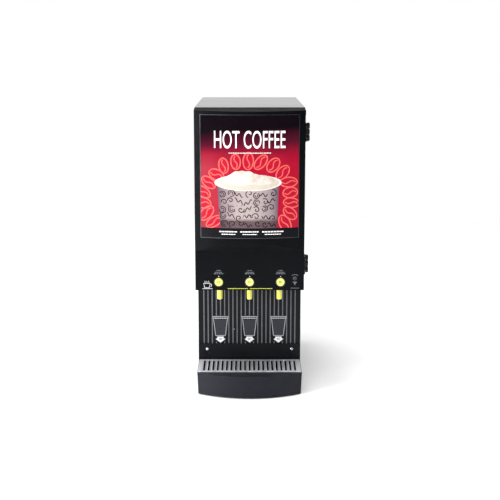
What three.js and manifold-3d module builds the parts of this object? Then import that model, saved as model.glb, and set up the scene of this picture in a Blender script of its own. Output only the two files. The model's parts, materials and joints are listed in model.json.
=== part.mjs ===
// A three-flavour countertop hot drink dispenser: a sheet-steel cabinet with a hinged, bowed and
// backlit door, three powder hoppers with augers, three whipper mixers, a hot water tank and a
// drip tray that hangs on two shoulder screws.
//
// Millimetres, +Z up, front towards -Y. The parts are drawn with x = 0 on the cabinet's middle
// plane, y = 0 at the door's front edge and z = 0 on the counter. The exported group then moves
// them so that its origin is the middle of the bounding box's bottom face.
import * as THREE from "three";
import { mergeVertices } from "three/addons/utils/BufferGeometryUtils.js";
import Module from "manifold-3d";

const wasm = await Module();
wasm.setup();

// ---------------------------------------------------------------- driving dimensions

const bodyWidth = 292;
const bodyHeight = 793;
const cabinetBack = 512;
const sheet = 1.5; // steel sheet thickness
const gap = 0.3; // between pieces that touch
const half = bodyWidth / 2;
const inside = half - sheet; // half the clear width between the side walls

const doorThickness = 31; // at its side edges
const doorBow = 22; // how far the middle of the door stands in front of its edges
const doorBottom = 305;
const doorTop = 791.3; // at the back edge; the top slopes down to the front
const doorTopSlope = 0.11;
const cabinetFront = 34;
const lowerFront = 139; // front of the narrow lower cabinet, behind the cups
const cabinetBottom = 16;

const panelTop = 412; // the flat control panel ends here and the brow slopes out to the bow
const browRise = 24.5; // height of the sloping brow at the middle of the door
const window = { halfWidth: 131, bottom: 450.5, top: 778 };

const stationSpacing = 83;
const stations = [-1, 0, 1];
const nozzleY = 92;
const nozzleBottom = 255;
const mixerZ = 390;
const shelfTop = 500;
const shelfFront = 112;
const bulkheadY = 300;

const hopper = { front: 70, back: 290, halfWidth: 39, top: 745, troughRadius: 18, wall: 2.2 };
const augerZ = shelfTop + gap + hopper.troughRadius;

const hinge = { x: 154, y: 33, radius: 5, height: 48, levels: { upper: 728.5, lower: 371.5 } };
const button = { radius: 11.3, z: 327.8, proud: 3 };
const selector = { x: 121.5, z: 338, radius: 4.4, proud: 3.5 };

const tray = { top: 63, bottom: 2.7, halfWidth: 144.8, back: 133.5, corner: 27, bow: 38, draft: 2.4 };
const bracket = { front: 135, thickness: 2, top: 111, bottom: 6 };
const keyhole = { x: 121, screwZ: 96, travel: 10.5 };

const rearReach = 14; // the water inlet stands this far out of the back

// ---------------------------------------------------------------- solids

/** A closed geometry as a manifold-3d solid, with its shared vertices merged. */
function solidOf(geometry) {
  const bare = geometry.index ? geometry.toNonIndexed() : geometry.clone();
  bare.deleteAttribute("normal");
  bare.deleteAttribute("uv");
  const merged = mergeVertices(bare, 1e-4);
  const triVerts = new Uint32Array(merged.index.array);
  const vertProperties = merged.attributes.position.array;
  return new wasm.Manifold(new wasm.Mesh({ numProp: 3, vertProperties, triVerts }));
}

function block([x0, x1], [y0, y1], [z0, z1]) {
  const box = new THREE.BoxGeometry(x1 - x0, y1 - y0, z1 - z0);
  box.translate((x0 + x1) / 2, (y0 + y1) / 2, (z0 + z1) / 2);
  return solidOf(box);
}

/** A block that is symmetric about x = 0. */
function wide(halfWidth, yRange, zRange) {
  return block([-halfWidth, halfWidth], yRange, zRange);
}

const alongX = new THREE.Matrix4().makeBasis(
  new THREE.Vector3(0, 1, 0), new THREE.Vector3(0, 0, 1), new THREE.Vector3(1, 0, 0));
const alongY = new THREE.Matrix4().makeBasis(
  new THREE.Vector3(1, 0, 0), new THREE.Vector3(0, 0, 1), new THREE.Vector3(0, -1, 0));

/** The prism between two ends, from an outline given as pairs of numbers. */
function prismGeometry(outline, depth) {
  const shape = new THREE.Shape(outline.map(([a, b]) => new THREE.Vector2(a, b)));
  return new THREE.ExtrudeGeometry(shape, { depth, bevelEnabled: false });
}

/** An outline of [y, z] points drawn out along X. */
function prismX(outline, [x0, x1]) {
  return solidOf(prismGeometry(outline, x1 - x0).applyMatrix4(alongX).translate(x0, 0, 0));
}

/** An outline of [x, z] points drawn out along Y. */
function prismY(outline, [y0, y1]) {
  return solidOf(prismGeometry(outline, y1 - y0).applyMatrix4(alongY).translate(0, y1, 0));
}

/** An outline of [x, y] points drawn out along Z. */
function prismZ(outline, [z0, z1]) {
  return solidOf(prismGeometry(outline, z1 - z0).translate(0, 0, z0));
}

/** A cylinder along an axis; the centre is given in the two other axes, in X, Y, Z order. */
function rod(axis, [u, v], radius, [from, to], sides = 12) {
  const g = new THREE.CylinderGeometry(radius, radius, to - from, sides);
  const middle = (from + to) / 2;
  if (axis === "x") g.rotateZ(-Math.PI / 2).translate(middle, u, v);
  if (axis === "y") g.translate(u, middle, v);
  if (axis === "z") g.rotateX(Math.PI / 2).translate(u, v, middle);
  return solidOf(g);
}

/** A turned piece about Z, from [radius, z] points that start and end on the axis. */
function turned(profile, sides = 16) {
  const points = profile.map(([r, z]) => new THREE.Vector2(r, z));
  return solidOf(new THREE.LatheGeometry(points, sides).rotateX(Math.PI / 2));
}

/** A turned piece about Y, from [radius, y] points that start and end on the axis. */
function turnedY(profile, sides = 16) {
  const points = profile.map(([r, y]) => new THREE.Vector2(r, y));
  return solidOf(new THREE.LatheGeometry(points, sides));
}

function fuse(...solids) {
  return solids.reduce((whole, next) => whole.add(next));
}

function cut(solid, ...cutters) {
  return cutters.reduce((rest, cutter) => rest.subtract(cutter), solid);
}

/** A solid repeated at each place of a list of [x, y, z] offsets. */
function repeated(solid, places) {
  return places.map((place) => solid.translate(place));
}

/** A named mesh from a solid. */
function piece(name, solid, material) {
  const made = solid.getMesh();
  const positions = new Float32Array(made.numVert * 3);
  for (let i = 0; i < made.numVert; i++) {
    positions.set(made.vertProperties.subarray(i * made.numProp, i * made.numProp + 3), i * 3);
  }
  const indexed = new THREE.BufferGeometry();
  indexed.setAttribute("position", new THREE.BufferAttribute(positions, 3));
  indexed.setIndex(new THREE.BufferAttribute(made.triVerts, 1));
  const geometry = indexed.toNonIndexed();
  geometry.computeVertexNormals();
  const mesh = new THREE.Mesh(geometry, material);
  mesh.name = name;
  return mesh;
}

function group(...children) {
  return new THREE.Group().add(...children);
}

// ---------------------------------------------------------------- materials

function finish(color, roughness, metalness = 0) {
  return new THREE.MeshStandardMaterial({ color, roughness, metalness });
}

const blackPaint = finish(0x17181b, 0.38, 0.2);
const blackPlastic = finish(0x1b1c1f, 0.45);
const greyPlastic = finish(0x3b3b42, 0.4);
const darkSteel = finish(0x8d9095, 0.4, 0.9);
const stainless = finish(0xc9cacf, 0.28, 1);
const yellowPlastic = finish(0xdce03c, 0.35);
const litPanel = finish(0xc01a38, 0.2);
const rubber = finish(0x101010, 0.85);
const clearPlastic = finish(0xcfd3d6, 0.25);
const whitePlastic = finish(0xdedede, 0.4);
const motorBlack = finish(0x25262a, 0.5, 0.4);
const brass = finish(0xb08a42, 0.35, 0.9);
const boardGreen = finish(0x1f5a34, 0.6);

// ---------------------------------------------------------------- cabinet

/** Wrap: two stepped side walls and the back in one folded sheet, open to the front. */
function cabinetShell() {
  const top = bodyHeight - sheet - gap;
  const sideOutline = [
    [cabinetFront, doorBottom], [lowerFront, doorBottom], [lowerFront, cabinetBottom],
    [cabinetBack, cabinetBottom], [cabinetBack, top], [cabinetFront, top],
  ];
  const outer = prismX(sideOutline, [-half, half]);
  const room = wide(inside, [0, cabinetBack - sheet], [0, bodyHeight]);
  const returnFlange = (side) => block(
    [Math.min(side * inside, side * 132.5), Math.max(side * inside, side * 132.5)],
    [cabinetFront, cabinetFront + sheet], [doorBottom + 5, 775]);
  const throughBack = [cabinetBack - 5, cabinetBack + 5];
  const ventSlots = repeated(
    wide(45, throughBack, [-2, 2]), Array.from({ length: 8 }, (_, i) => [0, 0, 220 + i * 12]));
  return cut(
    fuse(cut(outer, room), returnFlange(-1), returnFlange(1)),
    rod("y", [fan.x, fan.z], fan.bore, throughBack, 28),
    rod("y", [inlet.x, inlet.z], 9.5, throughBack),
    rod("y", [gland.x, gland.z], 8.5, throughBack),
    block([rocker.x - 9, rocker.x + 9], throughBack, [rocker.z - 15, rocker.z + 15]),
    ...ventSlots,
  );
}

/** Floor of the cabinet, with its two side flanges turned up inside the wrap. */
function basePan() {
  const yRange = [lowerFront + 3.5, cabinetBack - sheet - gap];
  const outer = wide(inside - gap, yRange, [cabinetBottom, cabinetBottom + 14]);
  return cut(outer, wide(inside - gap - sheet, [0, 600], [cabinetBottom + sheet, 60]));
}

/** Lid: a flat plate with flanges that drop inside the wrap. */
function topLid() {
  const under = bodyHeight - sheet;
  const plate = wide(half, [cabinetFront, cabinetBack], [under, bodyHeight]);
  const y = [cabinetFront + 2, cabinetBack - sheet - gap];
  const skirt = cut(
    wide(inside - gap, y, [bodyHeight - 14, under + 0.5]),
    wide(inside - gap - sheet, [y[0] + sheet, y[1] - sheet], [0, under]));
  return fuse(plate, skirt);
}

/** Folded sheet that carries the mixers, the hopper shelf and the auger motors. */
function innerChassis() {
  const front = lowerFront + 2;
  const outline = [
    [front, 20], [front + sheet, 20], [front + sheet, shelfTop - sheet],
    [bulkheadY + sheet, shelfTop - sheet], [bulkheadY + sheet, 777], [bulkheadY, 777],
    [bulkheadY, shelfTop], [shelfFront, shelfTop], [shelfFront, shelfTop - sheet],
    [front, shelfTop - sheet],
  ];
  const holes = stations.flatMap((side) => {
    const x = side * stationSpacing;
    return [
      rod("y", [x, mixerZ], 8, [front - 2, front + 4]),
      rod("y", [x + 28, 455], 6, [front - 2, front + 4], 16),
      rod("y", [x, augerZ], 8, [bulkheadY - 2, bulkheadY + 4]),
    ];
  });
  return cut(prismX(outline, [-(inside - gap), inside - gap]), ...holes);
}

/** Underside of the upper cabinet, with a hole for each nozzle. */
function nozzleDeck() {
  const zRange = [doorBottom, doorBottom + sheet];
  const plate = wide(inside - gap, [cabinetFront + 2, lowerFront + 1.5], zRange);
  const lip = wide(131, [cabinetFront + 2, cabinetFront + 2 + sheet], [doorBottom, doorBottom + 12]);
  const holes = stations.map((side) =>
    rod("z", [side * stationSpacing, nozzleY], 11, [doorBottom - 2, doorBottom + 4]));
  return cut(fuse(plate, lip), ...holes);
}

function splashPanel() {
  return wide(inside - gap, [lowerFront, lowerFront + 1.7], [104, doorBottom - 0.5]);
}

/** Rubber foot, narrower at the top. */
function foot() {
  return turned([[0, 0], [18, 0], [19, 2], [15, cabinetBottom - gap], [0, cabinetBottom - gap]]);
}

// ---------------------------------------------------------------- hinges

/** One hinge leaf about its pin at the local origin; side is -1 for the door's, 1 for the cabinet's. */
function hingeLeaf(side, zRanges) {
  const plateX = [half + gap - hinge.x, half + gap + 3 - hinge.x];
  const ordered = (a, b) => [Math.min(a, b), Math.max(a, b)];
  const plateY = ordered(side * 3, side * 27);
  const plate = block(plateX, plateY, [-hinge.height / 2, hinge.height / 2]);
  const knuckles = zRanges.flatMap((zRange) => [
    rod("z", [0, 0], hinge.radius, zRange),
    block([plateX[0], 0], ordered(0, side * 9), zRange),
  ]);
  const roomForOther = rod("z", [0, 0], hinge.radius + 0.5, [-hinge.height / 2, hinge.height / 2]);
  return fuse(cut(plate, roomForOther), ...knuckles);
}

const knuckleSplit = 8;

function cabinetLeaf() {
  const end = hinge.height / 2;
  const pin = rod("z", [0, 0], 2, [-end - 1.2, end + 1.2]);
  return fuse(hingeLeaf(1, [[-end, -knuckleSplit - 0.2], [knuckleSplit + 0.2, end]]), pin);
}

function doorLeaf() {
  const bore = rod("z", [0, 0], 2.3, [-hinge.height, hinge.height]);
  return cut(hingeLeaf(-1, [[-knuckleSplit + 0.2, knuckleSplit - 0.2]]), bore);
}

// ---------------------------------------------------------------- door

const bowRadius = (half * half + doorBow * doorBow) / (2 * doorBow);

/** y of the door's bowed front at x. */
function bowY(x) {
  return bowRadius - doorBow - Math.sqrt(bowRadius * bowRadius - x * x);
}

/** Points along the bow between two x values, set back by an offset. */
function bowPoints(x0, x1, offset, steps = 18) {
  return Array.from({ length: steps + 1 }, (_, i) => {
    const x = x0 + ((x1 - x0) * i) / steps;
    return [x, bowY(x) + offset];
  });
}

/** The door's form, taken in by a wall thickness at the front, and at the sides, top and bottom. */
function doorForm(frontWall, wall, back) {
  const w = half - wall;
  const plan = [...bowPoints(-w, w, frontWall), [w, back], [-w, back]];
  const topZ = (y) => doorTop - wall - doorTopSlope * (doorThickness - y);
  const panelY = Math.min(frontWall, wall);
  const reach = -60;
  const slope = browRise / doorBow;
  const belowBrow = [
    [panelY, 0], [panelY, panelTop + wall / 2],
    [reach, panelTop + wall / 2 + (panelY - reach) * slope], [reach, 0],
  ];
  const aboveTop = [[reach, topZ(reach)], [60, topZ(60)], [60, 900], [reach, 900]];
  return cut(
    prismZ(plan, [doorBottom + wall, doorTop]),
    prismX(belowBrow, [-half - 5, half + 5]),
    prismX(aboveTop, [-half - 5, half + 5]));
}

function bowedSlab(halfWidth, front, back, zRange) {
  const outline = [
    ...bowPoints(-halfWidth, halfWidth, front), ...bowPoints(halfWidth, -halfWidth, back)];
  return prismZ(outline, zRange);
}

/** Moulded door: bowed lightbox above, flat control panel below, open at the back. */
function doorShell() {
  const rebate = bowedSlab(window.halfWidth, -20, 4.3, [window.bottom, window.top]);
  const opening = wide(window.halfWidth - 5, [-60, 20], [window.bottom + 6, window.top - 6]);
  const buttonHoles = stations.map((side) =>
    rod("y", [side * stationSpacing, button.z], button.radius + 0.7, [-5, 8], 24));
  return cut(
    doorForm(0, 0, doorThickness),
    doorForm(6, 3, doorThickness + 5),
    rebate, opening, ...buttonHoles,
    rod("y", [selector.x, selector.z], selector.radius + 0.4, [-5, 8]));
}

/** Backlit graphic pane, following the bow. */
function doorWindow() {
  return bowedSlab(window.halfWidth - 0.4, 1, 4, [window.bottom + 0.4, window.top - 0.4]);
}

/** Flat sheet that closes the back of the door. */
function doorLiner() {
  return wide(half - 3 - gap, [28, 30.5], [doorBottom + 3 + gap, doorTop - 3 - 2]);
}

function lampTube() {
  return turned([[0, 470], [8, 470], [8, 482], [7.6, 482], [7.6, 748], [8, 748], [8, 760], [0, 760]], 12);
}

/** Push button cap with a softened rim, about its own axis, front at -proud. */
function dispenseButton() {
  const { radius: r, proud } = button;
  return turnedY([[0, -proud], [r - 2, -proud], [r, -proud + 1.5], [r, 12], [0, 12]], 24);
}

/** Round selector switch with a coin slot. */
function selectorSwitch() {
  const { radius: r, proud } = selector;
  const barrel = turnedY([[0, -proud], [r - 0.6, -proud], [r, -proud + 0.6], [r, 15], [0, 15]], 24);
  return cut(barrel, wide(0.7, [-proud - 1, -proud + 1.6], [-3.4, 3.4]));
}

// ---------------------------------------------------------------- hoppers and augers

/** Half-round trough with sloping shoulders and straight sides, as [x, z] points. */
function hopperOutline(halfWidth, radius, top) {
  const arc = Array.from({ length: 9 }, (_, i) => {
    const angle = Math.PI + (Math.PI * i) / 8;
    return [radius * Math.cos(angle), augerZ + radius * Math.sin(angle)];
  });
  const shoulder = augerZ + 75;
  return [[-halfWidth, top], [-halfWidth, shoulder], ...arc, [halfWidth, shoulder], [halfWidth, top]];
}

function hopperBody() {
  const { front, back, halfWidth, top, troughRadius, wall } = hopper;
  const spoutY = nozzleY + 1;
  const outer = prismY(hopperOutline(halfWidth, troughRadius, top), [front, back]);
  const room = prismY(
    hopperOutline(halfWidth - wall, troughRadius - wall, top + 20), [front + wall, back - wall]);
  const spout = rod("z", [0, spoutY], 12, [shelfTop - 16, augerZ - 6]);
  return cut(
    fuse(outer, spout), room,
    rod("z", [0, spoutY], 9.5, [0, augerZ]),
    rod("y", [0, augerZ], 8, [back - 10, back + 10]));
}

function hopperLid() {
  const { front, back, halfWidth, top } = hopper;
  const cap = wide(halfWidth + 2, [front - 2, back + 2], [top - 6, top + 3]);
  const recess = wide(halfWidth + gap, [front - gap, back + gap], [0, top + gap]);
  const grip = wide(4, [front + 60, back - 60], [top + 2, top + 9]);
  return fuse(cut(cap, recess), grip);
}

/** One helical flight about Y: a rectangular section swept round the axis. */
function helixFlight(inner, outer, thickness, [from, to], turns, stepsPerTurn = 8) {
  const steps = turns * stepsPerTurn;
  const positions = [];
  const index = [];
  for (let i = 0; i <= steps; i++) {
    const angle = (2 * Math.PI * i) / stepsPerTurn;
    const y = from + thickness / 2 + ((to - from - thickness) * i) / steps;
    for (const [r, dy] of [[inner, -1], [outer, -1], [outer, 1], [inner, 1]]) {
      positions.push(r * Math.cos(angle), y + (dy * thickness) / 2, -r * Math.sin(angle));
    }
  }
  for (let i = 0; i < steps; i++) {
    for (let k = 0; k < 4; k++) {
      const a = 4 * i + k;
      const b = 4 * i + ((k + 1) % 4);
      index.push(a, b + 4, b, a, a + 4, b + 4);
    }
  }
  const last = 4 * steps;
  index.push(0, 1, 2, 0, 2, 3, last, last + 2, last + 1, last, last + 3, last + 2);
  const geometry = new THREE.BufferGeometry();
  geometry.setAttribute("position", new THREE.Float32BufferAttribute(positions, 3));
  geometry.setIndex(index);
  return solidOf(geometry);
}

/** Auger about Y, with the drive dog that leaves the hopper's back wall. */
function auger() {
  const { front, back } = hopper;
  const flight = helixFlight(3, 13, 2.4, [front + 8, back - 8], 4);
  const shaft = rod("y", [0, 0], 4.2, [front + 4, back], 6);
  const dog = rod("y", [0, 0], 6.5, [back - 3, back + 6], 12);
  return fuse(flight, shaft, dog);
}

/** Gear motor behind the bulkhead; its hub meets the auger's dog. */
function augerMotor() {
  const face = bulkheadY + sheet + gap;
  const gearbox = wide(25, [face, face + 28], [-22, 22]);
  const can = rod("y", [0, 0], 17, [face + 20, face + 70]);
  const hub = rod("y", [0, 0], 6.5, [hopper.back + 6.5, face + 5], 16);
  return fuse(gearbox, can, hub);
}

// ---------------------------------------------------------------- mixers

/** Funnel over a round whipping chamber, with a neck that takes the nozzle. */
function mixingBowl() {
  const funnelY = nozzleY + 6;
  const funnel = (wall) => turned([
    [0, mixerZ], [16 - wall, mixerZ], [16 - wall, mixerZ + 26], [34 - wall, mixerZ + 44],
    [36 - wall, mixerZ + 90 + wall], [0, mixerZ + 90 + wall]], 18).translate([0, funnelY, 0]);
  const chamber = rod("y", [0, mixerZ], 26, [96, 138], 18);
  const chamberRoom = rod("y", [0, mixerZ], 23.6, [98.5, 140], 18);
  const neck = rod("z", [0, nozzleY], 9.5, [352, mixerZ - 10]);
  const spigot = rod("z", [0, nozzleY], 5.4, [335, 356]);
  const collar = rod("y", [0, mixerZ - 12], 9.5, [nozzleY, 100]);
  const drain = fuse(
    rod("z", [0, nozzleY], 3.4, [330, mixerZ - 12]), rod("y", [0, mixerZ - 12], 5, [nozzleY - 3, 102]));
  return cut(fuse(funnel(0), chamber, neck, spigot, collar), funnel(2.2), chamberRoom, drain);
}

function whipperImpeller() {
  const disc = rod("y", [0, 0], 17, [106, 108]);
  const shaft = rod("y", [0, 0], 3, [104, 139], 12);
  const vanes = [0, 60, 120].map((turn) => wide(16, [107, 114], [-0.9, 0.9]).rotate([0, turn, 0]));
  return fuse(disc, shaft, ...vanes);
}

function whipperMotor() {
  const face = lowerFront + 2 + sheet + gap;
  const flange = wide(27, [face, face + 3], [-27, 27]);
  const can = rod("y", [0, 0], 22, [face + 2, face + 62]);
  const hub = rod("y", [0, 0], 6.5, [139.5, face + 1], 16);
  return fuse(flange, can, hub);
}

/** Yellow outlet, pushed over the bowl's spigot, with a rounded lower rim. */
function nozzle() {
  const top = 351.5;
  const outer = turned([
    [0, nozzleBottom], [5.6, nozzleBottom], [7.1, nozzleBottom + 0.8], [7.65, nozzleBottom + 2.6],
    [7.65, top], [0, top]], 18);
  return cut(
    outer, rod("z", [0, 0], 2.8, [nozzleBottom - 5, top]), rod("z", [0, 0], 5.8, [334.6, top + 5]));
}

// ---------------------------------------------------------------- water and electrics

const tank = { halfWidth: 110, front: 315, back: 475, bottom: 556, top: 745 };
const fan = { x: 0, z: 690, bore: 37, front: 484, back: 509.5 };
const inlet = { x: 80, z: 70 };
const gland = { x: -80, z: 60 };
const rocker = { x: -80, z: 115 };

function waterTank() {
  const { halfWidth, front, back, bottom, top } = tank;
  const outer = wide(halfWidth, [front, back], [bottom, top]);
  const room = wide(halfWidth - 2, [front + 2, back - 2], [bottom + 2, top + 5]);
  const bulkheadFace = bulkheadY + sheet + gap;
  const brackets = [-70, 70].map((x) => block([x - 15, x + 15], [bulkheadFace, front + 1], [690, 715]));
  const outlets = stations.map((side) => rod("z", [side * stationSpacing, front + 30], 6, [0, 600], 12));
  return cut(fuse(outer, ...brackets), room, ...outlets);
}

/** Tank cover with the immersion heater's loop below it and its terminals above. */
function heaterCover() {
  const z = tank.top + gap;
  const plate = wide(tank.halfWidth, [tank.front, tank.back], [z, z + 2.5]);
  const middle = (tank.front + tank.back) / 2;
  const low = tank.bottom + 35;
  const legs = [-40, 40].flatMap((x) => [
    rod("z", [x, middle], 5, [low - 4, z + 1], 8),
    rod("z", [x, middle], 3, [z + 1, z + 16], 6),
  ]);
  return fuse(plate, ...legs, rod("x", [middle, low], 5.3, [-45, 45], 8));
}

/** Manifold bar with three solenoid valves. */
function valveBank() {
  const bar = wide(100, [242, 258], [440, 456]);
  const valves = stations.flatMap((side) => {
    const x = side * stationSpacing;
    return [
      rod("z", [x, 250], 13, [454, 486]),
      rod("y", [x, 448], 5, [222, 244], 12),
      block([x - 15, x + 15], [238, 262], [460, 478]),
    ];
  });
  const hangers = [-45, 45].map((x) => block([x - 6, x + 6], [248, 250], [450, shelfTop - sheet - gap]));
  return fuse(bar, ...valves, ...hangers);
}

/** Water inlet valve with the threaded nipple that leaves the back. */
function inletValve() {
  const nippleEnd = cabinetBack + rearReach;
  const body = block([-16, 16], [470, 505], [-16, 16]);
  const coil = rod("z", [0, 486], 14, [14, 46]);
  const nipple = rod("y", [0, 0], 8.5, [500, nippleEnd]);
  return cut(fuse(body, coil, nipple), rod("y", [0, 0], 4, [495, nippleEnd + 5], 16));
}

/** Control board on its steel tray, with transformer, relays and heat sink. */
function controlBoard() {
  const board = wide(105, [160, 162], [60, 210]);
  const parts = [
    block([-95, -35], [161, 200], [70, 125]), block([-10, 15], [161, 180], [70, 100]),
    block([25, 50], [161, 180], [70, 100]), block([-80, -20], [161, 172], [150, 195]),
    block([20, 90], [161, 185], [140, 160]),
  ];
  const standoffs = [[-100, 65], [100, 65], [-100, 205], [100, 205]].map((at) =>
    rod("y", at, 3, [lowerFront + 2 + sheet + gap, 161], 8));
  return fuse(board, ...parts, ...standoffs);
}

/** Square axial fan frame on the back wall, with the motor hub on three struts. */
function fanFrame() {
  const { bore, front, back } = fan;
  const side = 40;
  const frame = cut(
    wide(side, [front, back], [-side, side]), rod("y", [0, 0], bore, [front - 5, back + 5], 24));
  const struts = [0, 120, 240].map((turn) =>
    block([0, side], [back - 4, back], [-2, 2]).rotate([0, turn, 0]));
  const hub = rod("y", [0, 0], 14, [back - 4, back]);
  const corners = wide(side, [front, back], [-side, side]);
  return fuse(frame, hub, ...struts.map((strut) => strut.intersect(corners)));
}

/** Seven-bladed fan rotor. */
function fanRotor() {
  const y = [fan.front + 3, fan.back - 6];
  const hub = rod("y", [0, 0], 15, y);
  const bladeAt = (i) =>
    block([12, fan.bore - 2], [-1, 1], [-9, 9])
      .rotate([35, 0, 0])
      .translate([0, (y[0] + y[1]) / 2, 0])
      .rotate([0, (360 * i) / 7, 0]);
  return fuse(hub, ...Array.from({ length: 7 }, (_, i) => bladeAt(i)));
}

/** Cord gland: flange outside the back wall, stub through it. */
function cordGland() {
  const back = cabinetBack;
  const body = turnedY([
    [0, back - 12], [8, back - 12], [8, back + gap], [12, back + gap], [12, back + 4],
    [7, back + 10], [0, back + 10]], 24);
  return cut(body, rod("y", [0, 0], 3.6, [0, back + 20]));
}

/** Rocker about its own pivot, tilted to its off position. */
function powerRocker() {
  const tilt = 8;
  const outline = [[-8, -11], [3, -13], [5.5, 0], [3, 13], [-8, 11]];
  return prismX(outline, [-7.5, 7.5]).rotate([-tilt, 0, 0]);
}

// ---------------------------------------------------------------- drip tray

/** Points along the tray's bowed front between two x values, set back by an offset. */
function trayFront(x0, x1, offset, steps = 20) {
  const r = (tray.halfWidth ** 2 + tray.bow ** 2) / (2 * tray.bow);
  return Array.from({ length: steps + 1 }, (_, i) => {
    const x = x0 + ((x1 - x0) * i) / steps;
    return [x, tray.corner + r - tray.bow - Math.sqrt(r * r - x * x) + offset];
  });
}

/** The tray's outside, narrower at the bottom by its moulding draft. */
function trayForm() {
  const w = tray.halfWidth;
  const outline = [...trayFront(-w, w, 0), [w, tray.back], [-w, tray.back]];
  const form = prismGeometry(outline, tray.top - tray.bottom).translate(0, 0, tray.bottom);
  const position = form.attributes.position;
  for (let i = 0; i < position.count; i++) {
    const depth = (tray.top - position.getZ(i)) / (tray.top - tray.bottom);
    position.setX(i, position.getX(i) * (1 - (tray.draft / w) * depth));
  }
  return solidOf(form);
}

/** Moulded tray: a basin behind, a hollow bowed nose in front, open underneath for the bracket. */
function dripTray() {
  const basin = wide(138, [34, 128], [12, tray.top + 5]);
  const noseWidth = 137;
  const nose = prismZ(
    [...trayFront(-noseWidth, noseWidth, 3.5), [noseWidth, 31], [-noseWidth, 31]], [-5, tray.top - 3]);
  const under = wide(138, [34, 140], [-5, 9]);
  return cut(trayForm(), basin, nose, under);
}

const slotPitch = 12.7;
const slotCount = 21;

/** Slotted grille with a turned-down front lip and lugs that drop into the basin. */
function dripGrille() {
  const top = tray.top + 3;
  const plate = wide(143, [28.5, 129.5], [top - sheet, top]);
  const frontLip = wide(143, [28.5, 28.5 + sheet], [tray.top + gap, top]);
  const sideLips = [-1, 1].map((side) =>
    block([-sheet / 2, sheet / 2], [28.5, 129.5], [tray.top + gap, top])
      .translate([side * (143 - sheet / 2), 0, 0]));
  const lugs = [-1, 1].map((side) =>
    block([-1, 1], [40, 118], [tray.top - 5, top]).translate([side * 136, 0, 0]));
  const slot = wide(2.25, [36, 119], [0, 100]);
  const slots = repeated(slot, Array.from({ length: slotCount }, (_, i) =>
    [(i - (slotCount - 1) / 2) * slotPitch, 0, 0]));
  return cut(fuse(plate, frontLip, ...sideLips, ...lugs), ...slots);
}

/** Hanging plate with two keyholes and the shelf that carries the tray. */
function trayBracket() {
  const { front, thickness, top, bottom } = bracket;
  const plate = wide(half - 0.5, [front, front + thickness], [bottom, top]);
  const shelf = wide(128, [46, front + thickness], [bottom, bottom + thickness]);
  const y = [front - 5, front + 6];
  const wideHole = keyhole.screwZ - keyhole.travel;
  const holes = [-keyhole.x, keyhole.x].flatMap((x) => [
    rod("y", [x, wideHole], 5.75, y),
    rod("y", [x, keyhole.screwZ], 2.8, y),
    block([x - 2.8, x + 2.8], y, [wideHole, keyhole.screwZ]),
  ]);
  return cut(fuse(plate, shelf), ...holes);
}

/** Shoulder screw about Y: domed head in front of the plate, shank into the chassis. */
function shoulderScrew() {
  const headBack = bracket.front - gap;
  const chassisFace = lowerFront + 2 - gap;
  return turnedY([
    [0, headBack - 3.2], [3, headBack - 2.8], [4.5, headBack - 1.4], [4.5, headBack],
    [2.5, headBack], [2.5, chassisFace], [0, chassisFace]], 24);
}

// ---------------------------------------------------------------- assembly

const cabinet = group(
  piece("cabinet_shell", cabinetShell(), blackPaint),
  piece("base_pan", basePan(), darkSteel),
  piece("top_lid", topLid(), blackPaint),
  piece("inner_chassis", innerChassis(), darkSteel),
  piece("nozzle_deck", nozzleDeck(), blackPaint),
  piece("splash_panel", splashPanel(), blackPlastic),
);

for (const [end, y] of [["front", 168], ["rear", 484]]) {
  for (const [side, x] of [["left", -112], ["right", 112]]) {
    const mesh = piece(`foot_${end}_${side}`, foot(), rubber);
    mesh.position.set(x, y, 0);
    cabinet.add(mesh);
  }
}

const door = group(
  piece("door_shell", doorShell(), blackPlastic),
  piece("door_window", doorWindow(), litPanel),
  piece("door_liner", doorLiner(), whitePlastic),
  piece("lamp_tube", lampTube(), whitePlastic),
);
door.children[3].position.y = 12;

stations.forEach((side, i) => {
  const mesh = piece(`dispense_button_${i + 1}`, dispenseButton(), yellowPlastic);
  mesh.position.set(side * stationSpacing, 0, button.z);
  door.add(mesh);
});

const selectorMesh = piece("selector_switch", selectorSwitch(), darkSteel);
selectorMesh.position.set(selector.x, 0, selector.z);
door.add(selectorMesh);

const hinges = new THREE.Group();
for (const [level, z] of Object.entries(hinge.levels)) {
  const pair = group(
    piece(`hinge_cabinet_leaf_${level}`, cabinetLeaf(), blackPlastic),
    piece(`hinge_door_leaf_${level}`, doorLeaf(), blackPlastic));
  pair.position.set(hinge.x, hinge.y, z);
  hinges.add(pair);
}

/** Everything that belongs to one flavour, about its own middle plane. */
function station(number) {
  const atHeight = (mesh, z) => {
    mesh.position.z = z;
    return mesh;
  };
  const outlet = piece(`nozzle_${number}`, nozzle(), yellowPlastic);
  outlet.position.y = nozzleY;
  return group(
    piece(`hopper_${number}`, hopperBody(), clearPlastic),
    piece(`hopper_lid_${number}`, hopperLid(), blackPlastic),
    atHeight(piece(`auger_${number}`, auger(), whitePlastic), augerZ),
    atHeight(piece(`auger_motor_${number}`, augerMotor(), motorBlack), augerZ),
    piece(`mixing_bowl_${number}`, mixingBowl(), whitePlastic),
    atHeight(piece(`whipper_impeller_${number}`, whipperImpeller(), whitePlastic), mixerZ),
    atHeight(piece(`whipper_motor_${number}`, whipperMotor(), motorBlack), mixerZ),
    outlet,
  );
}

const flavours = group(...stations.map((side, i) => {
  const made = station(i + 1);
  made.position.x = side * stationSpacing;
  return made;
}));

function placed(name, solid, material, { x, y = 0, z }) {
  const mesh = piece(name, solid, material);
  mesh.position.set(x, y, z);
  return mesh;
}

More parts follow.
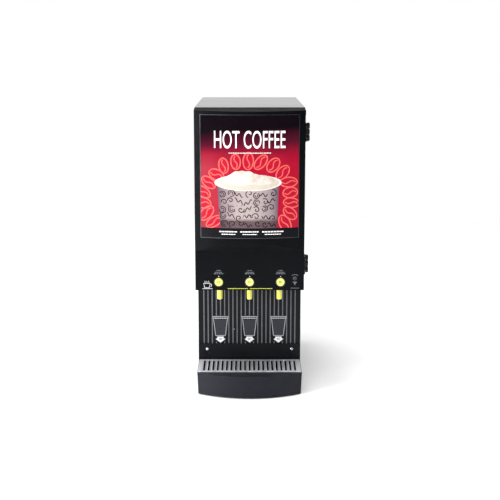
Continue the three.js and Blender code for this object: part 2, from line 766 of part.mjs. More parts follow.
const services = group(
  piece("water_tank", waterTank(), stainless),
  piece("heater_cover", heaterCover(), stainless),
  piece("valve_bank", valveBank(), brass),
  placed("inlet_valve", inletValve(), brass, inlet),
  piece("control_board", controlBoard(), boardGreen),
  placed("fan_frame", fanFrame(), blackPlastic, fan),
  placed("fan_rotor", fanRotor(), blackPlastic, fan),
  placed("cord_gland", cordGland(), blackPlastic, gland),
  placed("power_rocker", powerRocker(), blackPlastic, { ...rocker, y: cabinetBack }),
);

const drip = group(
  piece("drip_tray_bracket", trayBracket(), blackPaint),
  piece("drip_tray", dripTray(), greyPlastic),
  piece("drip_grille", dripGrille(), stainless),
  placed("shoulder_screw_left", shoulderScrew(), stainless, { x: -keyhole.x, z: keyhole.screwZ }),
  placed("shoulder_screw_right", shoulderScrew(), stainless, { x: keyhole.x, z: keyhole.screwZ }),
);

const dispenser = group(cabinet, door, hinges, flavours, services, drip);
const boxMiddleX = (hinge.x + hinge.radius - half) / 2;
const boxMiddleY = (cabinetBack + rearReach - doorBow) / 2;
dispenser.position.set(-boxMiddleX, -boxMiddleY, 0);

export default dispenser;
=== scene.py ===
"""Looks for a countertop hot drink dispenser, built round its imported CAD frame.

Lengths are written in millimetres from the machine's own datum: x = 0 on the cabinet's middle
plane, y = 0 at the door's front edge, z = 0 on the counter. at() turns them into the frame.
"""
import json
import math
import random

import bmesh
import bpy
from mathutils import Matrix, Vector


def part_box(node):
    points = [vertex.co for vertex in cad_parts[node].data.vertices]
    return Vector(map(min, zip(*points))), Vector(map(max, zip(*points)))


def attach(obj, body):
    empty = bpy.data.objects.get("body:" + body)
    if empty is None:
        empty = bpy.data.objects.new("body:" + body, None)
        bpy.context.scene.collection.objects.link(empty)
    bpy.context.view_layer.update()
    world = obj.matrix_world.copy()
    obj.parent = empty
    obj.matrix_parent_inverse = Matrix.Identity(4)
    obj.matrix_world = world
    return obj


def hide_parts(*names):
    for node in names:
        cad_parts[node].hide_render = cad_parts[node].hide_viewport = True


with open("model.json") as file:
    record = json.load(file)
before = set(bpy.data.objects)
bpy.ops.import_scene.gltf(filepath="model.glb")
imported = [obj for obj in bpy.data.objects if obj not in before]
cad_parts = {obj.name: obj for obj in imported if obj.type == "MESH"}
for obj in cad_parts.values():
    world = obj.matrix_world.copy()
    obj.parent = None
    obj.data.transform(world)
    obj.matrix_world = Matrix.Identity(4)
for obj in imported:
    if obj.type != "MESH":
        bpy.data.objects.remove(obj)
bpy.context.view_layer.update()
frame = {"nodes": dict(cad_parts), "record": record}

MM = 0.001
nodes = frame["nodes"]
record = frame["record"]
body_of = {n: b for b, members in record["behaviour"]["bodies"].items() for n in members}
slot_of = {s["node"]: s["material_slot"] for s in record["subparts"]}

# ---------------------------------------------------------------- datum and sizes

DOOR_THICKNESS = 31
lid_low, lid_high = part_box("top_lid")
door_low, door_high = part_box("door_shell")
DATUM = Vector(((lid_low.x + lid_high.x) / 2, door_high.y - DOOR_THICKNESS * MM, 0))


def at(x, y, z):
    return DATUM + Vector((x, y, z)) * MM


def local(point):
    """A frame point in millimetres from the machine's datum."""
    return (point - DATUM) / MM


def size_of(node):
    """Low and high corner of a CAD node, in millimetres from the datum."""
    low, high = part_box(node)
    return local(low), local(high)


def middle_of(node):
    low, high = size_of(node)
    return (low + high) / 2


HALF = (lid_high.x - lid_low.x) / 2 / MM
BOW = -local(door_low).y
BOW_RADIUS = (HALF**2 + BOW**2) / (2 * BOW)
TOP = local(lid_high).z
BACK = local(lid_high).y
STATIONS = [middle_of(f"nozzle_{i}").x for i in (1, 2, 3)]


def bow(x):
    """y of the door's bowed front at x."""
    return BOW_RADIUS - BOW - math.sqrt(BOW_RADIUS**2 - x * x)


# ---------------------------------------------------------------- materials

def srgb(r, g, b):
    """A colour given from 0 to 255, as linear RGBA."""
    def channel(v):
        v /= 255
        return v / 12.92 if v <= 0.04045 else ((v + 0.055) / 1.055) ** 2.4
    return (channel(r), channel(g), channel(b), 1)


class Nodes:
    """A node tree with short calls for the nodes used here."""

    def __init__(self, tree):
        self.tree = tree

    def plug(self, made, socket, value):
        """Links a socket to an input, or sets the input to a plain value."""
        if isinstance(value, bpy.types.NodeSocket):
            self.tree.links.new(value, made.inputs[socket])
        else:
            made.inputs[socket].default_value = value

    def node(self, kind, links=None, **values):
        made = self.tree.nodes.new("ShaderNode" + kind)
        for key, value in values.items():
            if key.startswith("in_"):
                made.inputs[key[3:].replace("_", " ")].default_value = value
            else:
                setattr(made, key, value)
        for key, source in (links or {}).items():
            self.plug(made, key, source)
        return made

    def split(self, vector, which):
        return self.node("SeparateXYZ", {"Vector": vector}).outputs[which]

    def ramp(self, source, stops):
        made = self.node("ValToRGB", {"Fac": source})
        elements = made.color_ramp.elements
        while len(elements) < len(stops):
            elements.new(0.5)
        for element, (position, colour) in zip(elements, stops):
            element.position = position
            element.color = srgb(*colour)
        return made.outputs["Color"]

    def range(self, source, low, high, start=0.0, end=1.0):
        made = self.node("MapRange", {"Value": source}, in_From_Min=start, in_From_Max=end,
                         in_To_Min=low, in_To_Max=high)
        return made.outputs["Result"]

    def mix(self, factor, a, b):
        return self.node("Mix", {0: factor, 6: a, 7: b}, data_type="RGBA").outputs[2]

    def maths(self, operation, a, b=0.0):
        return self.node("Math", {0: a, 1: b}, operation=operation).outputs[0]


class Shader(Nodes):
    """A Principled material with its node tree at hand."""

    def __init__(self, name, **sockets):
        self.material = bpy.data.materials.new(name)
        self.material.use_nodes = True
        super().__init__(self.material.node_tree)
        self.principled = self.tree.nodes["Principled BSDF"]
        for socket, value in sockets.items():
            self.principled.inputs[socket.replace("_", " ")].default_value = value

    def link(self, source, *sockets):
        for socket in sockets:
            self.tree.links.new(source, self.principled.inputs[socket])

    def place(self, stretch=(1, 1, 1)):
        coordinate = self.node("TexCoord").outputs["Object"]
        return self.node("Mapping", {"Vector": coordinate}, in_Scale=stretch).outputs["Vector"]

    def noise(self, scale, detail=4.0, stretch=(1, 1, 1)):
        made = self.node("TexNoise", {"Vector": self.place(stretch)},
                         in_Scale=scale, in_Detail=detail, in_Roughness=0.55)
        return made.outputs["Fac"]

    def axis(self, which):
        return self.split(self.node("TexCoord").outputs["Object"], which)

    def upward(self, most, start, end):
        """From 0 on walls to most on what faces up."""
        normal = self.node("NewGeometry").outputs["Normal"]
        return self.range(self.split(normal, "Z"), 0, most, start, end)

    def bump(self, height, distance, strength=1.0):
        made = self.node("Bump", {"Height": height}, in_Strength=strength, in_Distance=distance)
        self.link(made.outputs["Normal"], "Normal")

    def tones(self, dark, light, scale, stretch=(1, 1, 1)):
        colour = self.ramp(self.noise(scale, stretch=stretch), [(0.3, dark), (0.7, light)])
        self.link(colour, "Base Color")
        return colour

    def gloss(self, low, high, scale, stretch=(1, 1, 1)):
        return self.range(self.noise(scale, stretch=stretch), low, high, 0.3, 0.7)

    def rough(self, *reach):
        self.link(self.gloss(*reach), "Roughness")

    def dust(self, colour, tone, amount):
        """Lays a thin uneven veil of dust on what faces up."""
        facing = self.upward(amount, 0.6, 1.0)
        veil = self.maths("MULTIPLY", facing, self.range(self.noise(35, 6), 0.2, 1, 0.35, 0.7))
        self.link(self.mix(veil, colour, srgb(*tone)), "Base Color")


def painted(name, dark, light, rough, peel=0.00012, specular=0.35, patchy=0.12):
    """Powder coat: even colour, orange peel and slightly patchy gloss."""
    s = Shader(name, Specular_IOR_Level=specular)
    s.dust(s.tones(dark, light, 14), (120, 118, 112), 0.02)
    s.rough(rough, rough + patchy, 9)
    s.bump(s.noise(420, 2), peel, 0.5)
    return s.material


def moulded(name, dark, light, rough, grain=0.00008, scale=1500, specular=0.4, coat=0.0,
            dull_top=0.0):
    """Injection moulded plastic with a fine etched grain; its top may be duller with dust."""
    s = Shader(name, Specular_IOR_Level=specular, Coat_Weight=coat, Coat_Roughness=0.08)
    s.dust(s.tones(dark, light, 22), (150, 146, 138), 0.04)
    gloss = s.gloss(rough, rough + 0.14, 30)
    if dull_top:
        gloss = s.maths("ADD", gloss, s.upward(dull_top, 0.5, 0.95))
    s.link(gloss, "Roughness")
    s.bump(s.noise(scale, 3), grain, 0.6)
    return s.material


def brushed(name, dark, light, rough, along=(1, 1, 1), depth=0.00003, metallic=1.0):
    """Brushed metal: streaks along one axis."""
    s = Shader(name, Metallic=metallic)
    s.tones(dark, light, 160, along)
    s.rough(rough, rough + 0.16, 220, along)
    s.bump(s.noise(700, 3, along), depth, 0.5)
    return s.material


def printed(name, ink, second, glow=0.0):
    """Screen-printed ink with slightly uneven cover."""
    s = Shader(name, Specular_IOR_Level=0.15, Emission_Strength=glow)
    colour = s.tones(second, ink, 260)
    if glow:
        s.link(colour, "Emission Color")
    s.rough(0.25, 0.4, 120)
    s.bump(s.noise(900, 2), 0.00002, 0.4)
    return s.material


STREAK_X = (0.04, 1, 1)
STREAK_Y = (1, 0.04, 1)
STREAK_Z = (1, 1, 0.04)

black_paint = painted("black_paint", (15, 16, 19), (19, 20, 24), 0.3, 0.00009, 0.3, 0.04)
lid_paint = painted("lid_paint", (18, 18, 28), (22, 22, 33), 0.1, 0.000008, 0.46, 0.03)
panel_film = painted("panel_film", (11, 12, 16), (16, 17, 22), 0.3, 0.00004, specular=0.15)
hinge_black = painted("hinge_black", (14, 15, 16), (24, 25, 27), 0.35)
door_plastic = moulded("door_plastic", (5, 7, 10), (8, 11, 15), 0.3, 0.00003, 1200,
                       specular=0.09, dull_top=0.4)
black_plastic = moulded("black_plastic", (20, 20, 22), (30, 30, 33), 0.42)
tray_plastic = moulded("tray_plastic", (4, 5, 18), (7, 8, 26), 0.46, 0.00009, 1100,
                       specular=0.32)
white_plastic = moulded("white_plastic", (222, 221, 214), (238, 237, 231), 0.35)
yellow_plastic = moulded("yellow_plastic", (224, 232, 112), (240, 246, 146), 0.24, 0.00003, 900,
                         coat=0.3)
# painted light: the nozzles' yellow is lighter than the buttons' to make up for the shade under the
# door
nozzle_plastic_painted_light = moulded("nozzle_plastic_painted_light", (238, 238, 92), (250, 249, 124), 0.3, 0.00003,
                         900)
rubber = moulded("rubber", (16, 16, 16), (28, 28, 27), 0.75, 0.0002, 600, specular=0.2)
stainless = brushed("stainless", (206, 206, 212), (234, 234, 240), 0.34, STREAK_Y,
                    metallic=0.6)
stainless_sheet = brushed("stainless_sheet", (170, 172, 177), (208, 210, 214), 0.26, STREAK_X)
polished = brushed("polished", (205, 206, 210), (232, 232, 235), 0.1, (1, 1, 1), 0.00001)
zinc = brushed("zinc", (142, 146, 150), (182, 186, 190), 0.34, STREAK_X, 0.00004)
brass = brushed("brass", (176, 138, 70), (206, 170, 98), 0.24, (1, 1, 1))
motor_black = painted("motor_black", (34, 35, 38), (48, 49, 53), 0.42)
enamel = painted("enamel", (176, 177, 174), (190, 191, 188), 0.32, specular=0.4)
rim_metal = brushed("rim_metal", (72, 74, 80), (100, 102, 108), 0.3, STREAK_Z)


def board_material():
    """Solder-masked board with a faint net of tracks."""
    s = Shader("board_green", Specular_IOR_Level=0.5)
    tracks = s.node("TexBrick", {"Vector": s.place()}, in_Scale=180.0, in_Color1=srgb(20, 84, 46),
                    in_Color2=srgb(26, 96, 54), in_Mortar=srgb(48, 128, 74))
    s.link(tracks.outputs["Color"], "Base Color")
    s.rough(0.3, 0.45, 60)
    return s.material


def hopper_material():
    """Translucent frosted moulding."""
    s = Shader("hopper_frosted", Transmission_Weight=0.92, IOR=1.3)
    s.tones((232, 238, 240), (246, 250, 251), 12)
    s.rough(0.12, 0.22, 25)
    s.bump(s.noise(800, 2), 0.00004, 0.5)
    return s.material


def powder_material():
    s = Shader("drink_powder", Specular_IOR_Level=0.1)
    s.tones((150, 104, 66), (196, 152, 108), 240)
    s.rough(0.85, 1.0, 90)
    s.bump(s.noise(900, 5), 0.0006, 0.8)
    return s.material


def tube_material():
    s = Shader("silicone_tube", Transmission_Weight=0.45, IOR=1.41)
    s.tones((214, 214, 206), (236, 236, 230), 40)
    s.rough(0.3, 0.45, 80)
    return s.material


def lamp_material():
    s = Shader("lamp_phosphor", Emission_Strength=0.9)
    colour = s.tones((244, 240, 228), (255, 252, 242), 30)
    s.link(colour, "Emission Color")
    s.rough(0.3, 0.4, 30)
    return s.material


GLOW = 0.09


def graphic_material():
    """Backlit print: near black above, melting into red below; paler on the left with painted
    light.
    """
    s = Shader("lit_graphic", Specular_IOR_Level=0.2, Emission_Strength=GLOW)
    drift = s.range(s.noise(9, 2), -0.018, 0.018)
    tilt = s.maths("MULTIPLY", s.axis("X"), -0.07)
    height = s.maths("ADD", s.axis("Z"), s.maths("ADD", drift, tilt))
    fade = s.range(height, 0, 1, at(0, 0, 640).z, at(0, 0, 740).z)
    upper = s.ramp(fade, [(0.0, (168, 13, 43)), (0.3, (148, 15, 42)), (0.62, (72, 12, 34)),
                          (1.0, (14, 6, 13))])
    # painted light: the left of the print is paled towards grey pink, as if lit from that side
    side = s.range(s.axis("X"), 0.3, 0, at(-131, 0, 0).x, at(-20, 0, 0).x)
    left_painted_light = s.mix(s.maths("MULTIPLY", side, s.range(fade, 1, 0, 0, 0.5)), upper,
                   srgb(110, 90, 90))
    glare = s.maths("MULTIPLY", s.range(s.noise(16, 5), 0.0, 0.14, 0.3, 0.7),
                    s.range(fade, 1, 0))
    cloudy = s.mix(glare, left_painted_light, srgb(216, 62, 90))
    s.link(cloudy, "Base Color", "Emission Color")
    s.rough(0.12, 0.2, 20)
    return s.material


def cup_material():
    """Printed paper cup: pale mauve, darker at its sides and in a band at the foot."""
    s = Shader("cup_print", Specular_IOR_Level=0.4, Emission_Strength=GLOW)
    across = s.range(s.axis("X"), -1, 1, at(-84, 0, 0).x, at(76, 0, 0).x)
    edge = s.maths("POWER", s.maths("ABSOLUTE", across), 2.4)
    face = s.ramp(edge, [(0.0, (184, 169, 167)), (0.6, (148, 130, 136)), (1.0, (96, 74, 88))])
    foot = s.range(s.maths("ADD", s.axis("Z"), s.range(s.noise(30, 2), -0.003, 0.003)),
                   0.85, 0, at(0, 0, 497).z, at(0, 0, 507).z)
    colour = s.mix(foot, face, srgb(64, 33, 43))
    speckled = s.mix(s.range(s.noise(700, 3), 0, 0.25), colour, srgb(70, 52, 62))
    s.link(speckled, "Base Color", "Emission Color")
    s.rough(0.3, 0.45, 60)
    return s.material


def foam_material():
    s = Shader("foam_print", Specular_IOR_Level=0.4, Emission_Strength=GLOW)
    folds = s.ramp(s.noise(34, 4), [(0.32, (190, 172, 154)), (0.5, (212, 205, 197)),
                                    (0.7, (228, 227, 226))])
    s.link(folds, "Base Color", "Emission Color")
    s.rough(0.3, 0.4, 60)
    return s.material


# ---------------------------------------------------------------- mesh tools

def placed(name, data):
    made = bpy.data.objects.new(name, data)
    bpy.context.scene.collection.objects.link(made)
    return made


def add(name, mesh, material, body, slot, *replaced):
    made = placed(name, mesh)
    mesh.materials.clear()
    mesh.materials.append(material)
    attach(made, body)
    if replaced:
        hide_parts(*replaced)
    return made


CREASE_ANGLE, BEVEL_ANGLE = 35, 32  # degrees between faces


def mesh_from(name, bm):
    bmesh.ops.recalc_face_normals(bm, faces=bm.faces)
    mesh = bpy.data.meshes.new(name)
    bm.to_mesh(mesh)
    bm.free()
    mesh.polygons.foreach_set("use_smooth", [True] * len(mesh.polygons))
    mesh.set_sharp_from_angle(angle=math.radians(CREASE_ANGLE))
    return mesh


def bevelled(made, width, segments=2):
    modifier = made.modifiers.new("edges", "BEVEL")
    modifier.width = width * MM
    modifier.segments = segments
    modifier.limit_method = "ANGLE"
    modifier.angle_limit = math.radians(BEVEL_ANGLE)
    modifier.harden_normals = True
    return made


def carried(node, material, width=0.4, segments=2):
    """A CAD node's own shape with its flat faces whole again and its edges eased."""
    source = nodes[node].data
    bm = bmesh.new()
    shared = [bm.verts.new(v.co) for v in source.vertices]
    for polygon in source.polygons:
        bm.faces.new([shared[i] for i in polygon.vertices])
    bmesh.ops.remove_doubles(bm, verts=bm.verts, dist=2e-6)
    bmesh.ops.dissolve_limit(bm, angle_limit=math.radians(0.4), verts=bm.verts, edges=bm.edges)
    made = add(node + "_finished", mesh_from(node + "_finished", bm), material, body_of[node],
               slot_of[node], node)
    return bevelled(made, width, segments) if width else made


def bridge(bm, rows, wrap=True):
    """Quads between rows of points; wrap joins each row's end to its start."""
    for a, b in zip(rows, rows[1:]):
        for i in range(len(a) if wrap else len(a) - 1):
            j = (i + 1) % len(a)
            bm.faces.new([a[i], a[j], b[j], b[i]])


def turned(name, profile, axis, centre, material, body, slot, replaced=(), sides=48, ring=False):
    """A turned piece: profile holds (radius, distance along the axis) in millimetres.

    A ring's profile runs round its section; any other's ends are closed across the axis.
    """
    bm = bmesh.new()
    rings = []
    for radius, along in profile:
        points = []
        for i in range(sides if radius > 0 else 1):
            angle = 2 * math.pi * i / sides
            u, v = radius * math.cos(angle), radius * math.sin(angle)
            offset = {"x": (along, u, v), "y": (u, along, v), "z": (u, v, along)}[axis]
            points.append(bm.verts.new(centre + Vector(offset) * MM))
        rings.append(points)
    pairs = list(zip(rings, rings[1:]))
    if ring:
        pairs.append((rings[-1], rings[0]))
    for a, b in pairs:
        for i in range(sides):
            corners = [a[i % len(a)], a[(i + 1) % len(a)], b[(i + 1) % len(b)], b[i % len(b)]]
            bm.faces.new(list(dict.fromkeys(corners)))
    for end in () if ring else (rings[0], rings[-1]):
        if len(end) > 1:
            bm.faces.new(end)
    return add(name, mesh_from(name, bm), material, body, slot, *replaced)


def blocks(name, boxes, material, body, slot, width=0.3, replaced=()):
    """One piece made of boxes, given as (low corner, high corner) in millimetres."""
    bm = bmesh.new()
    for low, high in boxes:
        made = bmesh.ops.create_cube(bm, size=1)["verts"]
        middle, span = (Vector(low) + Vector(high)) / 2, Vector(high) - Vector(low)
        for vertex in made:
            vertex.co = at(*(middle + Vector(a * b for a, b in zip(vertex.co, span))))
    made = add(name, mesh_from(name, bm), material, body, slot, *replaced)
    return bevelled(made, width) if width else made


def smooth_path(points):
    """Points along a Catmull-Rom curve through the given ones."""
    steps = 8
    padded = [points[0], *points, points[-1]]
    made = []
    for p0, p1, p2, p3 in zip(padded, padded[1:], padded[2:], padded[3:]):
        for i in range(steps):
            t = i / steps
            made.append(0.5 * ((2 * p1) + (p2 - p0) * t + (2 * p0 - 5 * p1 + 4 * p2 - p3) * t * t
                               + (3 * p1 - p0 - 3 * p2 + p3) * t * t * t))
    return [*made, points[-1]]


def tube(name, points, radius, material, body, slot, sides=12):
    """A round tube along a smooth path through points in millimetres."""
    path = smooth_path([at(*p) for p in points])
    bm = bmesh.new()
    rings = []
    normal = Vector((0, 0, 1))
    for i, point in enumerate(path):
        tangent = (path[min(i + 1, len(path) - 1)] - path[max(i - 1, 0)]).normalized()
        side = tangent.cross(normal)
        if side.length < 0.1:
            side = tangent.cross(Vector((1, 0, 0)))
        side.normalize()
        normal = side.cross(tangent).normalized()
        rings.append([
            bm.verts.new(point + (side * math.cos(a) + normal * math.sin(a)) * radius * MM)
            for a in (2 * math.pi * k / sides for k in range(sides))])
    bridge(bm, rings)
    bm.faces.new(rings[0])
    bm.faces.new(rings[-1])
    return add(name, mesh_from(name, bm), material, body, slot)


# ---------------------------------------------------------------- print, as thin raised shapes

def rectangle(x0, x1, z0, z1):
    return [(x0, z0), (x1, z0), (x1, z1), (x0, z1)]


def ribbon(points, width, closed=False):
    """Quads that follow a line of (x, z) points."""
    count = len(points)
    sides = []
    for i, (x, z) in enumerate(points):
        before = points[(i - 1) % count] if closed or i else points[0]
        after = points[(i + 1) % count] if closed or i < count - 1 else points[-1]
        dx, dz = after[0] - before[0], after[1] - before[1]
        length = math.hypot(dx, dz) or 1
        nx, nz = -dz / length * width / 2, dx / length * width / 2
        sides.append(((x + nx, z + nz), (x - nx, z - nz)))
    pairs = list(zip(sides, sides[1:]))
    if closed:
        pairs.append((sides[-1], sides[0]))
    return [[a[0], a[1], b[1], b[0]] for a, b in pairs]


def arc(cx, cz, radius, start, end, steps=14, squash=1.0):
    angles = (math.radians(start + (end - start) * i / steps) for i in range(steps + 1))
    return [(cx + radius * math.cos(a), cz + radius * squash * math.sin(a)) for a in angles]


def disc(cx, cz, radius, steps=20):
    return arc(cx, cz, radius, 0, 360 - 360 / steps, steps - 1)


def word_marks(rng, centre, z, width, height):
    """A line of short bars the length of words, which say nothing."""
    x, end = centre - width / 2, centre + width / 2
    marks = []
    while x < end - 1:
        stop = min(end, x + rng.uniform(2.2, 6.5))
        marks.append(rectangle(x, stop, z - height / 2, z + height / 2))
        x = stop + height * 0.6
    return marks


BOW_CUTS = range(-128, 129, 8)  # x of the cuts that let print follow the bow


def print_shapes(name, polygons, surface, material, body, slot, lift=0.05, depth=0.08,
                 clip=None):
    """Thin shapes laid on a face; lift keeps layers apart.

    The face is given as its y, or as a function of x where it is curved.
    """
    curved = callable(surface)
    surface_at = surface if curved else lambda _x: surface
    bm = bmesh.new()
    for polygon in polygons:
        corners = [bm.verts.new((x, 0, z)) for x, z in polygon]
        try:
            bm.faces.new(corners)
        except ValueError:
            continue
    bmesh.ops.remove_doubles(bm, verts=bm.verts, dist=1e-4)
    bmesh.ops.triangulate(bm, faces=bm.faces)
    planes = []
    if clip:
        x0, x1, z0, z1 = clip
        planes += [((x0, 0, 0), (-1, 0, 0), True), ((x1, 0, 0), (1, 0, 0), True),
                   ((0, 0, z0), (0, 0, -1), True), ((0, 0, z1), (0, 0, 1), True)]
    if curved:
        planes += [((x, 0, 0), (1, 0, 0), False) for x in BOW_CUTS]
    for point, normal, clear in planes:
        geometry = [*bm.verts, *bm.edges, *bm.faces]
        bmesh.ops.bisect_plane(bm, geom=geometry, dist=1e-5, plane_co=point, plane_no=normal,
                               clear_outer=clear)
    front = [(v.co.x, v.co.z) for v in bm.verts]
    bm.verts.index_update()
    faces = [[v.index for v in f.verts] for f in bm.faces]
    rims = [[v.index for v in e.verts] for e in bm.edges if len(e.link_faces) == 1]
    bm.free()
    solid = bmesh.new()
    outer = [solid.verts.new(at(x, surface_at(x) - lift - depth, z)) for x, z in front]
    inner = [solid.verts.new(at(x, surface_at(x) - lift, z)) for x, z in front]
    for face in faces:
        solid.faces.new([outer[i] for i in face])
        solid.faces.new([inner[i] for i in reversed(face)])
    for a, b in rims:
        solid.faces.new([outer[a], outer[b], inner[b], inner[a]])
    return add(name, mesh_from(name, solid), material, body, slot)


def lettering(word, centre, z, height, width):
    """Triangles of a plain word, fitted to a height and a width."""
    curve = bpy.data.curves.new("letters", "FONT")
    curve.body = word
    curve.resolution_u = 6
    made = placed("letters", curve)
    bpy.context.view_layer.update()
    mesh = bpy.data.meshes.new_from_object(made.evaluated_get(
        bpy.context.evaluated_depsgraph_get()))
    points = [(v.co.x, v.co.y) for v in mesh.vertices]
    x0, x1 = min(p[0] for p in points), max(p[0] for p in points)
    z0, z1 = min(p[1] for p in points), max(p[1] for p in points)
    fitted = [(centre + ((x - x0) / (x1 - x0) - 0.5) * width, z + (h - z0) / (z1 - z0) * height)
              for x, h in points]
    polygons = [[fitted[i] for i in p.vertices] for p in mesh.polygons]
    bpy.data.objects.remove(made)
    bpy.data.meshes.remove(mesh)
    return polygons


# ---------------------------------------------------------------- door

window_low, window_high = size_of("door_window")
PANE = 1.0  # the pane's face stands this far behind the door's front
W_LEFT, W_RIGHT = window_low.x, window_high.x
W_BOTTOM, W_TOP = window_low.z, window_high.z
STRIP_TOP = W_BOTTOM + 28


def pane(x):
    return bow(x) + PANE


def on_pane(name, polygons, material, layer, inset=2.0):
    edges = (W_LEFT + inset, W_RIGHT - inset, W_BOTTOM + inset, W_TOP - inset)
    return print_shapes(name, polygons, pane, material, "door", "lit_graphic",
                        lift=0.04 + 0.13 * layer, clip=edges)


def backdrop_beans():
    """Plain coffee beans in a fan behind the cup: their outlines and their insides."""
    rng = random.Random(23)
    strokes, insides = [], []
    for i in range(17):
        angle = math.radians(-38 + i * 256 / 16)
        out, long, wide = rng.uniform(112, 124), rng.uniform(19, 24), rng.uniform(12, 14.5)
        lean = angle + rng.uniform(-0.5, 0.5)
        middle = (-4 + out * math.cos(angle), 556 + 0.86 * out * math.sin(angle))

        def spot(u, v):
            return (middle[0] + u * math.cos(lean) - v * math.sin(lean),
                    middle[1] + u * math.sin(lean) + v * math.cos(lean))

        outline = [spot(long * math.cos(math.radians(a)), wide * math.sin(math.radians(a)))
                   for a in range(0, 360, 15)]
        crease = [spot(long * t / 8 * 0.8, 0.28 * wide * math.sin(math.pi * t / 8))
                  for t in range(-8, 9)]
        insides.append(outline)
        strokes += ribbon(outline, 3.2, closed=True) + ribbon(crease, 2.8)
    return strokes, insides


CUP = {"left": -85, "right": 77, "foot_left": -78, "foot_right": 72, "rim": 588, "foot": STRIP_TOP}


def cup_outline():
    return [(CUP["foot_left"], CUP["foot"]), (CUP["foot_right"], CUP["foot"]),
            (CUP["right"], CUP["rim"]), (CUP["left"], CUP["rim"])]


RIM_Z, RIM_REACH, RIM_SQUASH = 600, 88, 0.25
RIM_MIDDLE = (CUP["left"] + CUP["right"]) / 2 - 0.5


def rim_ellipse(scale):
    return arc(RIM_MIDDLE, RIM_Z, RIM_REACH * scale, 0, 355, 71, RIM_SQUASH)


def foam_outline():
    """Foam heaped over the back of the rim, higher on the left, running low on the right."""
    reach = RIM_REACH * 0.93
    lower = [(RIM_MIDDLE + reach * u, RIM_Z + 1 - 7 * math.sin(math.pi * (u + 1) / 2)
              + 1.8 * math.sin(7 * u + 1)) for u in (i / 20 - 1 for i in range(41))]
    top = []
    for i in range(1, 40):
        u = 1 - 2 * i / 40
        heap = 24 * math.cos(math.pi * u / 2) ** 0.6 + 10 * math.exp(-((u + 0.25) / 0.32) ** 2)
        lumps = 1.8 * math.sin(11 * u + 0.7) + 1.0 * math.sin(26 * u)
        top.append((RIM_MIDDLE + reach * u, RIM_Z + heap + lumps * math.cos(math.pi * u / 2)))
    return [*lower, *top]


def cup_doodles():
    """A plain printed pattern of swirls, waves, rings and dots over the cup."""
    rng = random.Random(5)
    shapes = []
    for row in range(5):
        for column in range(7):
            x = CUP["left"] + 17 + column * 21.4 + rng.uniform(-4, 4) - row * 0.2
            z = CUP["foot"] + 11 + row * 20 + rng.uniform(-4, 4)
            size, turn = rng.uniform(7.5, 10.5), rng.uniform(0, 360)
            kind = rng.randrange(3)
            if kind == 0:
                spiral = [(x + size * t / 24 * math.cos(t / 3.4 + turn),
                           z + size * t / 24 * math.sin(t / 3.4 + turn)) for t in range(3, 27)]
                shapes += ribbon(spiral, 2.3)
            elif kind == 1:
                slope = rng.uniform(-0.7, 0.7)
                wave = [(x + (t - 10) * 1.05, z + 4 * math.sin(t * 0.5 + turn) + slope * (t - 10))
                        for t in range(21)]
                shapes += ribbon(wave, 2.4)
            else:
                shapes += ribbon(arc(x, z, size * 0.85, turn, turn + 325), 2.2)
                shapes += ribbon(arc(x, z, size * 0.4, turn + 60, turn + 330), 2.0)
    for _ in range(46):
        x = rng.uniform(CUP["left"] + 9, CUP["right"] - 9)
        z = rng.uniform(CUP["foot"] + 3, CUP["rim"] - 12)
        shapes.append(disc(x, z, rng.uniform(0.8, 1.5), 8))
    return shapes


def window_graphic():
    carried("door_window", graphic_material(), 0.25)
    orange = printed("orange_print", (238, 118, 100), (226, 84, 84), GLOW)
    deep = printed("deep_red_print", (196, 20, 54), (166, 18, 46), GLOW * 0.6)
    white = printed("white_print", (255, 255, 255), (244, 242, 242), 0.4)
    ink = printed("ink_print", (20, 14, 18), (32, 24, 30))
    lip = printed("lip_print", (244, 240, 238), (222, 212, 210), GLOW)
    cream = printed("cream_print", (212, 203, 190), (196, 184, 168), GLOW)
    strokes, insides = backdrop_beans()
    for i, inside in enumerate(insides):
        on_pane(f"graphic_bean_{i}", [inside], deep, 0)
    on_pane("graphic_bean_outlines", strokes, orange, 1)
    on_pane("graphic_strip", [rectangle(W_LEFT, W_RIGHT, W_BOTTOM, STRIP_TOP)],
            printed("strip_print", (10, 9, 14), (15, 14, 19)), 2, inset=1.0)
    on_pane("graphic_cup", [cup_outline()], cup_material(), 2)
    on_pane("graphic_doodles", cup_doodles(), ink, 3)
    on_pane("graphic_lip", [rim_ellipse(1.0)], lip, 4)
    on_pane("graphic_drink", [rim_ellipse(0.93)], cream, 5)
    on_pane("graphic_foam", [foam_outline()], foam_material(), 6)
    on_pane("graphic_letters", lettering("HOT COFFEE", 0, 690, 46, 186), white, 2)
    rng = random.Random(3)
    tagline = word_marks(rng, 0, 678, 110, 2.6)
    on_pane("graphic_tagline", tagline, lip, 2)
    notes = []
    for centre, width in ((-57, 46), (-1, 48), (61, 56)):
        notes += word_marks(rng, centre, STRIP_TOP - 9.5, width, 3.0)
        notes += word_marks(rng, centre + 1, STRIP_TOP - 16.5, width * 0.8, 1.9)
    on_pane("graphic_notes", notes, white, 3)


def window_rim():
    """Thin bead round the pane, following the bow."""
    width = 1.6
    bars = [rectangle(W_LEFT, W_LEFT + width, W_BOTTOM, W_TOP),
            rectangle(W_RIGHT - width, W_RIGHT, W_BOTTOM, W_TOP),
            rectangle(W_LEFT, W_RIGHT, W_TOP - width, W_TOP),
            rectangle(W_LEFT, W_RIGHT, W_BOTTOM, W_BOTTOM + width)]
    print_shapes("window_rim", bars, pane, rim_metal, "door", "switch_metal", lift=0.02,
                 depth=0.5)


button_low, button_high = size_of("dispense_button_1")
PANEL = 0.0  # y of the control panel's face
BUTTON_GAP = 0.4  # between the cap and its hole
BUTTON_Z = (button_low.z + button_high.z) / 2
BUTTON_RADIUS = (button_high.x - button_low.x) / 2 - BUTTON_GAP


